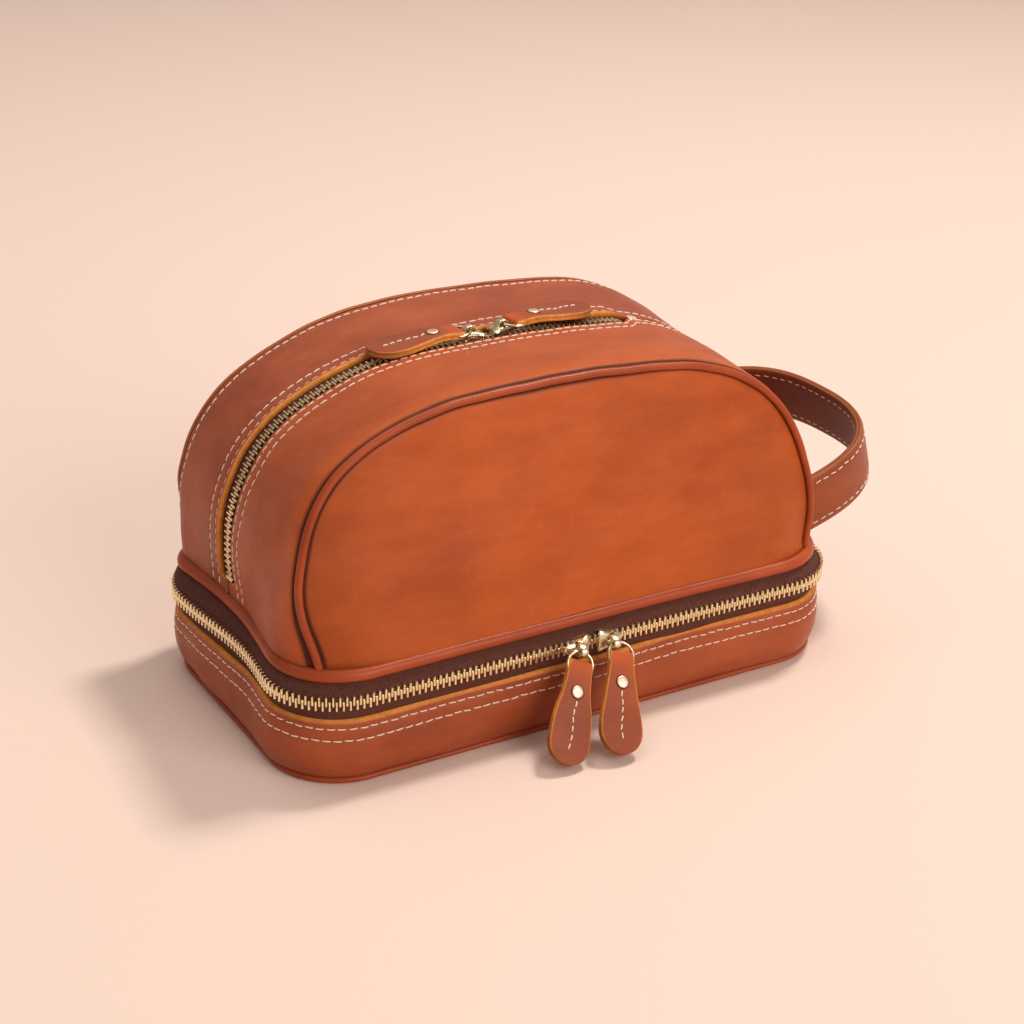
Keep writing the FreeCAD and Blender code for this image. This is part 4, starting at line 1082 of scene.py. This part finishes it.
# Distance from the ring's centre and half width there.
TAB_SHAPE = np.array([[-0.85, 4.9], [1.0, 5.15], [4.0, 5.2], [8.0, 5.5], [12.0, 6.15], [17.0, 7.15],
                      [22.0, 8.05], [27.0, 8.7], [30.5, 8.9]])
TAB_LENGTH, TAB_END = 39.5, 8.9
RIVET_AT = -11.0
STUD_SIDES = 24


def tab_half(d):
    """Half width of the tab at distance d from the ring's centre."""
    body = np.interp(d, TAB_SHAPE[:, 0], TAB_SHAPE[:, 1])
    start = TAB_LENGTH - TAB_END
    past = np.clip((d - start) / TAB_END, 0, 1)
    return np.where(d > start, TAB_END * np.sqrt(np.clip(1 - past ** 2, 0, 1)), body)


def stud(rings, lift, hand, bend):
    """Points of a round stud at the rivet's place, from (radius, height) rings over one face of the tab."""
    return [(radius * math.cos(a), RIVET_AT + radius * math.sin(a), hand * (lift + height) + bend)
            for radius, height in rings for a in np.linspace(0, 2 * math.pi, STUD_SIDES, endpoint=False)]


def pull(name, origin, axes, body, drop, seed, seam):
    """A folded tab on its ring, a rivet through both layers and a line of stitches.

    Local axes: across, up towards the ring, outward. drop(d) is the tab's bend outward at d.
    seam is how deep the painted shade in the groove between the two layers is.
    """
    ends = TAB_LENGTH - TAB_END * (1 - np.sin(np.linspace(0, math.pi / 2, 16)))
    d = np.concatenate([[-1.6, -1.55, -1.4, -1.15, -0.8], np.linspace(-0.3, TAB_LENGTH - TAB_END, 46), ends[1:-1],
                        [TAB_LENGTH - 0.01]])
    half = tab_half(np.clip(d, -0.85, None))
    layer = 1.55
    fold = np.sqrt(np.clip(1 - ((np.clip(d, -1.6, 0) / 1.62) ** 2), 0.002, 1))
    thick = layer * (1 - 0.06 * step(d, 5, 12)) * fold
    split = step(d, 0.5, 3.5)
    points, raw, shade, warm = [], [], [], []
    u = [0.999, 0.95, 0.85, 0.6, 0.3, 0.0]
    u = u + [-k for k in u[-2::-1]]
    uneven = wobble(np.stack([d, 0 * d, 0 * d + seed], 1), 9.0, 0.13, seed)
    for k, dist in enumerate(d):
        w, h = max(half[k] + uneven[k] * step(dist, 0, 4), 0.05), thick[k]
        soft = min(0.35, w * 0.3)
        face = [(w * a - soft * a * (abs(a) > 0.9), h * (1 - 0.10 * (abs(a) > 0.97))) for a in u]
        notch = 0.45 * split[k] * min(1.0, w / 2)
        left = [(-w, h * 0.78), (-w - 0.05, h * 0.35), (-w + notch, 0.0), (-w - 0.05, -h * 0.35), (-w, -h * 0.78)]
        back = [(-x, -z) for x, z in face]
        right = [(-x, -z) for x, z in left]
        ring = face + left + back + right
        bend = drop(dist)
        points += [(x, -dist, z + bend) for x, z in ring]
        # The cut edges turn from tan to dark brown over the last part towards the tip.
        darker_to_tip = 0.55 * step(dist, 19, 36)
        edge = [0.9 - darker_to_tip, 1 - darker_to_tip, 0.9, 1 - darker_to_tip, 0.9 - darker_to_tip]
        tint = [0.5 * (abs(a) > 0.98) for a in u]
        raw += tint + edge + [0] * len(u) + edge
        # Painted shade in the groove between the two layers (seam); the edges' rims are a little darker, and darker
        # still towards the tip.
        dark = [0.0] * len(u) + [0.1 + darker_to_tip, darker_to_tip * 0.6, seam * split[k], darker_to_tip * 0.6, 0.1 + darker_to_tip]
        shade += dark + dark
        warm += [0.8 * math.exp(-(max(dist, 0.0) / 6.5) ** 2)] * (2 * len(dark))
    columns = 2 * (len(u) + 5)
    faces = tube_faces(len(d), columns, False)
    # A thin leather ring round each rivet, darkened as painted shade of the recess round the rivet's cap.
    rivet_shade_ring = [(2.95, -0.3), (2.9, 0.05), (2.7, 0.12), (2.2, 0.12)]
    for hand in (1, -1):
        faces += tube_faces(len(rivet_shade_ring), STUD_SIDES, False, len(points))
        points += stud(rivet_shade_ring, layer * 0.95, hand, drop(-RIVET_AT))
    # The ring's points get painted shade.
    extra = len(points) - len(raw)
    raw, warm, shade = raw + [0.0] * extra, warm + [0.0] * extra, shade + [0.8] * extra
    make(f"{name}_tab", place_points(points, origin, axes), faces, TAB, body=body, raw=raw, shade=shade, warm=warm)

    cap = [(2.35, 0.0), (2.5, 0.2), (2.4, 0.45), (2.0, 0.6), (1.1, 0.68), (0.2, 0.7)]
    cap_points, cap_faces = [], []
    for hand in (1, -1):
        cap_faces += tube_faces(len(cap), STUD_SIDES, False, len(cap_points))
        cap_points += stud(cap, layer - 0.1, hand, drop(-RIVET_AT))
    make(f"{name}_rivet", place_points(cap_points, origin, axes), cap_faces, RIVET, body=body)

    line = np.linspace(13.8, 34.0, 44)
    sway = 0.35 * np.sin(line / 2.3 + seed)
    lines = []
    for hand in (1, -1):
        local = np.stack([sway, -line, hand * (layer * 0.94 + 0.02) + np.array([drop(v) for v in line])], 1)
        path = place_points(local, origin, axes)
        lines.append((path, np.broadcast_to(np.asarray(axes[2]) * hand, path.shape)))
    stitches(f"{name}_stitches", lines, body, length=2.4, pitch=2.95, radius=0.3, uneven=1.1)


def turn(axis, degrees):
    return np.array(Matrix.Rotation(math.radians(degrees), 3, axis))


WIRE_LIFT = 5.4
TOP_RAISE = 1.6
RING_RADIUS = 5.4


def lying(d):
    """How far a top tab is off its ring's plane at d: lifted by its fold, then drooping and waving a little."""
    return -0.0003 * max(0.0, d - 4.0) ** 2 + 0.8 * float(step(d, 1, 9)) + 0.25 * math.sin(d / 6.0)


def build_sliders():
    joints = {joint["name"]: joint for joint in frame["joints"]}
    for hand, side, lean, sway, spin in ((-1, "left", 34.1, 27.8, 0.0), (1, "right", 40.2, 21.6, 30.0)):
        wire = np.array(joints[f"base_{side}_pull_swing"]["pos_m"]) / MM
        origin = wire + [0, WIRE_LIFT, 0]
        body = f"base_{side}_slider_body"
        slider(f"base_{side}_slider", origin, np.array([-hand, 0.0, 0.0]), np.array([0.0, -1.0, 0.0]), body, True,
               WIRE_LIFT, 2.2)
        turned = turn("X", 90 - lean) @ turn("Z", -sway)
        angle = hand * math.radians(spin)
        centre = wire + turned @ np.array([RING_RADIUS * math.sin(angle), -RING_RADIUS * math.cos(angle), 0.0])
        bend = 0.0009 if hand < 0 else 0.0005
        pull(f"base_{side}_pull", centre, turned.T, f"base_{side}_pull_body",
             lambda d, b=bend: b * max(0.0, d) ** 2, 60 + hand, 0.7)
    for hand, side in ((-1, "left"), (1, "right")):
        slide = joints[f"top_{side}_slide"]
        wire = np.array(joints[f"top_{side}_pull_swing"]["pos_m"]) / MM
        middle = np.array(slide["pos_m"]) / MM
        out = unit(wire - middle)
        along = np.cross([0.0, 1.0, 0.0], out) * -hand
        lift = WIRE_LIFT - TOP_RAISE
        slider(f"top_{side}_slider", wire - out * lift, along, out, f"top_{side}_slider_body", False, lift, 1.5)
        tilt = math.degrees(math.atan2(out[0], out[2]))
        turned = turn("Y", tilt) @ turn("Y", hand * 2.4) @ turn("Z", hand * 90 + (0.0 if hand < 0 else 9.0))
        centre = wire + turned @ np.array([0.0, -RING_RADIUS, 0.0])
        pull(f"top_{side}_pull", centre, turned.T, f"top_{side}_pull_body", lying, 70 + hand, 0.3)


# ---------------------------------------------------------------- CAD pieces that stay

def dress_cad():
    kept = {"base_panel": COGNAC, "base_stiffener": BOARD}
    kept.update({f"{place}_{side}_pull_ring": RING for place in ("base", "top") for side in ("left", "right")})
    for node, material in kept.items():
        piece = frame["nodes"][node]
        if piece.data.materials:
            piece.data.materials[0] = material
        else:
            piece.data.materials.append(material)


# ---------------------------------------------------------------- floor, light, camera

def area(name, place, target, size, power, colour):
    light = bpy.data.lights.new(name, "AREA")
    light.shape = "RECTANGLE"
    light.size, light.size_y = size
    light.energy, light.color = power, colour
    holder = bpy.data.objects.new(name, light)
    holder.location = place
    holder.rotation_euler = (Vector(target) - Vector(place)).to_track_quat("-Z", "Y").to_euler()
    bpy.context.scene.collection.objects.link(holder)


def build_studio():
    span = 6000.0
    xs = np.linspace(-span, span, 41)
    points = np.array([(x, y, 0.0) for x in xs for y in xs])
    floor = make("floor", points, grid(41, 41), ground("pale_floor", (0.82, 0.63, 0.53)), slot=False)
    area("key_light", (1.0, 0.30, 1.95), (0, 0, 0.05), (0.34, 0.34), 28, (1.0, 0.95, 0.90))
    area("top_light", (-0.3, 0.5, 1.9), (0, 0, 0.05), (1.2, 1.2), 9, (1.0, 0.97, 0.95))
    area("front_light", (0.45, -1.7, 1.0), (0, 0, 0.06), (1.4, 1.1), 21, (1.0, 0.97, 0.93))
    world = bpy.data.worlds.new("studio")
    world.use_nodes = True
    sky = world.node_tree.nodes["Background"]
    sky.inputs["Color"].default_value = (1.0, 0.90, 0.85, 1.0)
    sky.inputs["Strength"].default_value = 0.36
    bpy.context.scene.world = world
    bpy.context.scene.view_settings.view_transform = "Standard"


CAMERA_PLACE = (-0.39398, -0.64785, 0.41062)
CAMERA_TURN, CAMERA_DIP, CAMERA_ROLL = 0.5491, 0.4299, 0.0307


def build_camera():
    data = bpy.data.cameras.new("camera")
    data.lens, data.sensor_width = 71.53, 36.0
    data.clip_start, data.clip_end = 0.01, 50.0
    camera = bpy.data.objects.new("camera", data)
    aim = (Matrix.Rotation(-CAMERA_TURN, 4, "Z") @ Matrix.Rotation(math.pi / 2 - CAMERA_DIP, 4, "X")
           @ Matrix.Rotation(CAMERA_ROLL, 4, "Z"))
    camera.matrix_world = Matrix.Translation(CAMERA_PLACE) @ aim
    bpy.context.scene.collection.objects.link(camera)
    bpy.context.scene.camera = camera


build_tray()
build_base_zip()
build_case()
build_top_zip()
build_hinge()
build_strap()
build_sliders()
dress_cad()
build_studio()
build_camera()
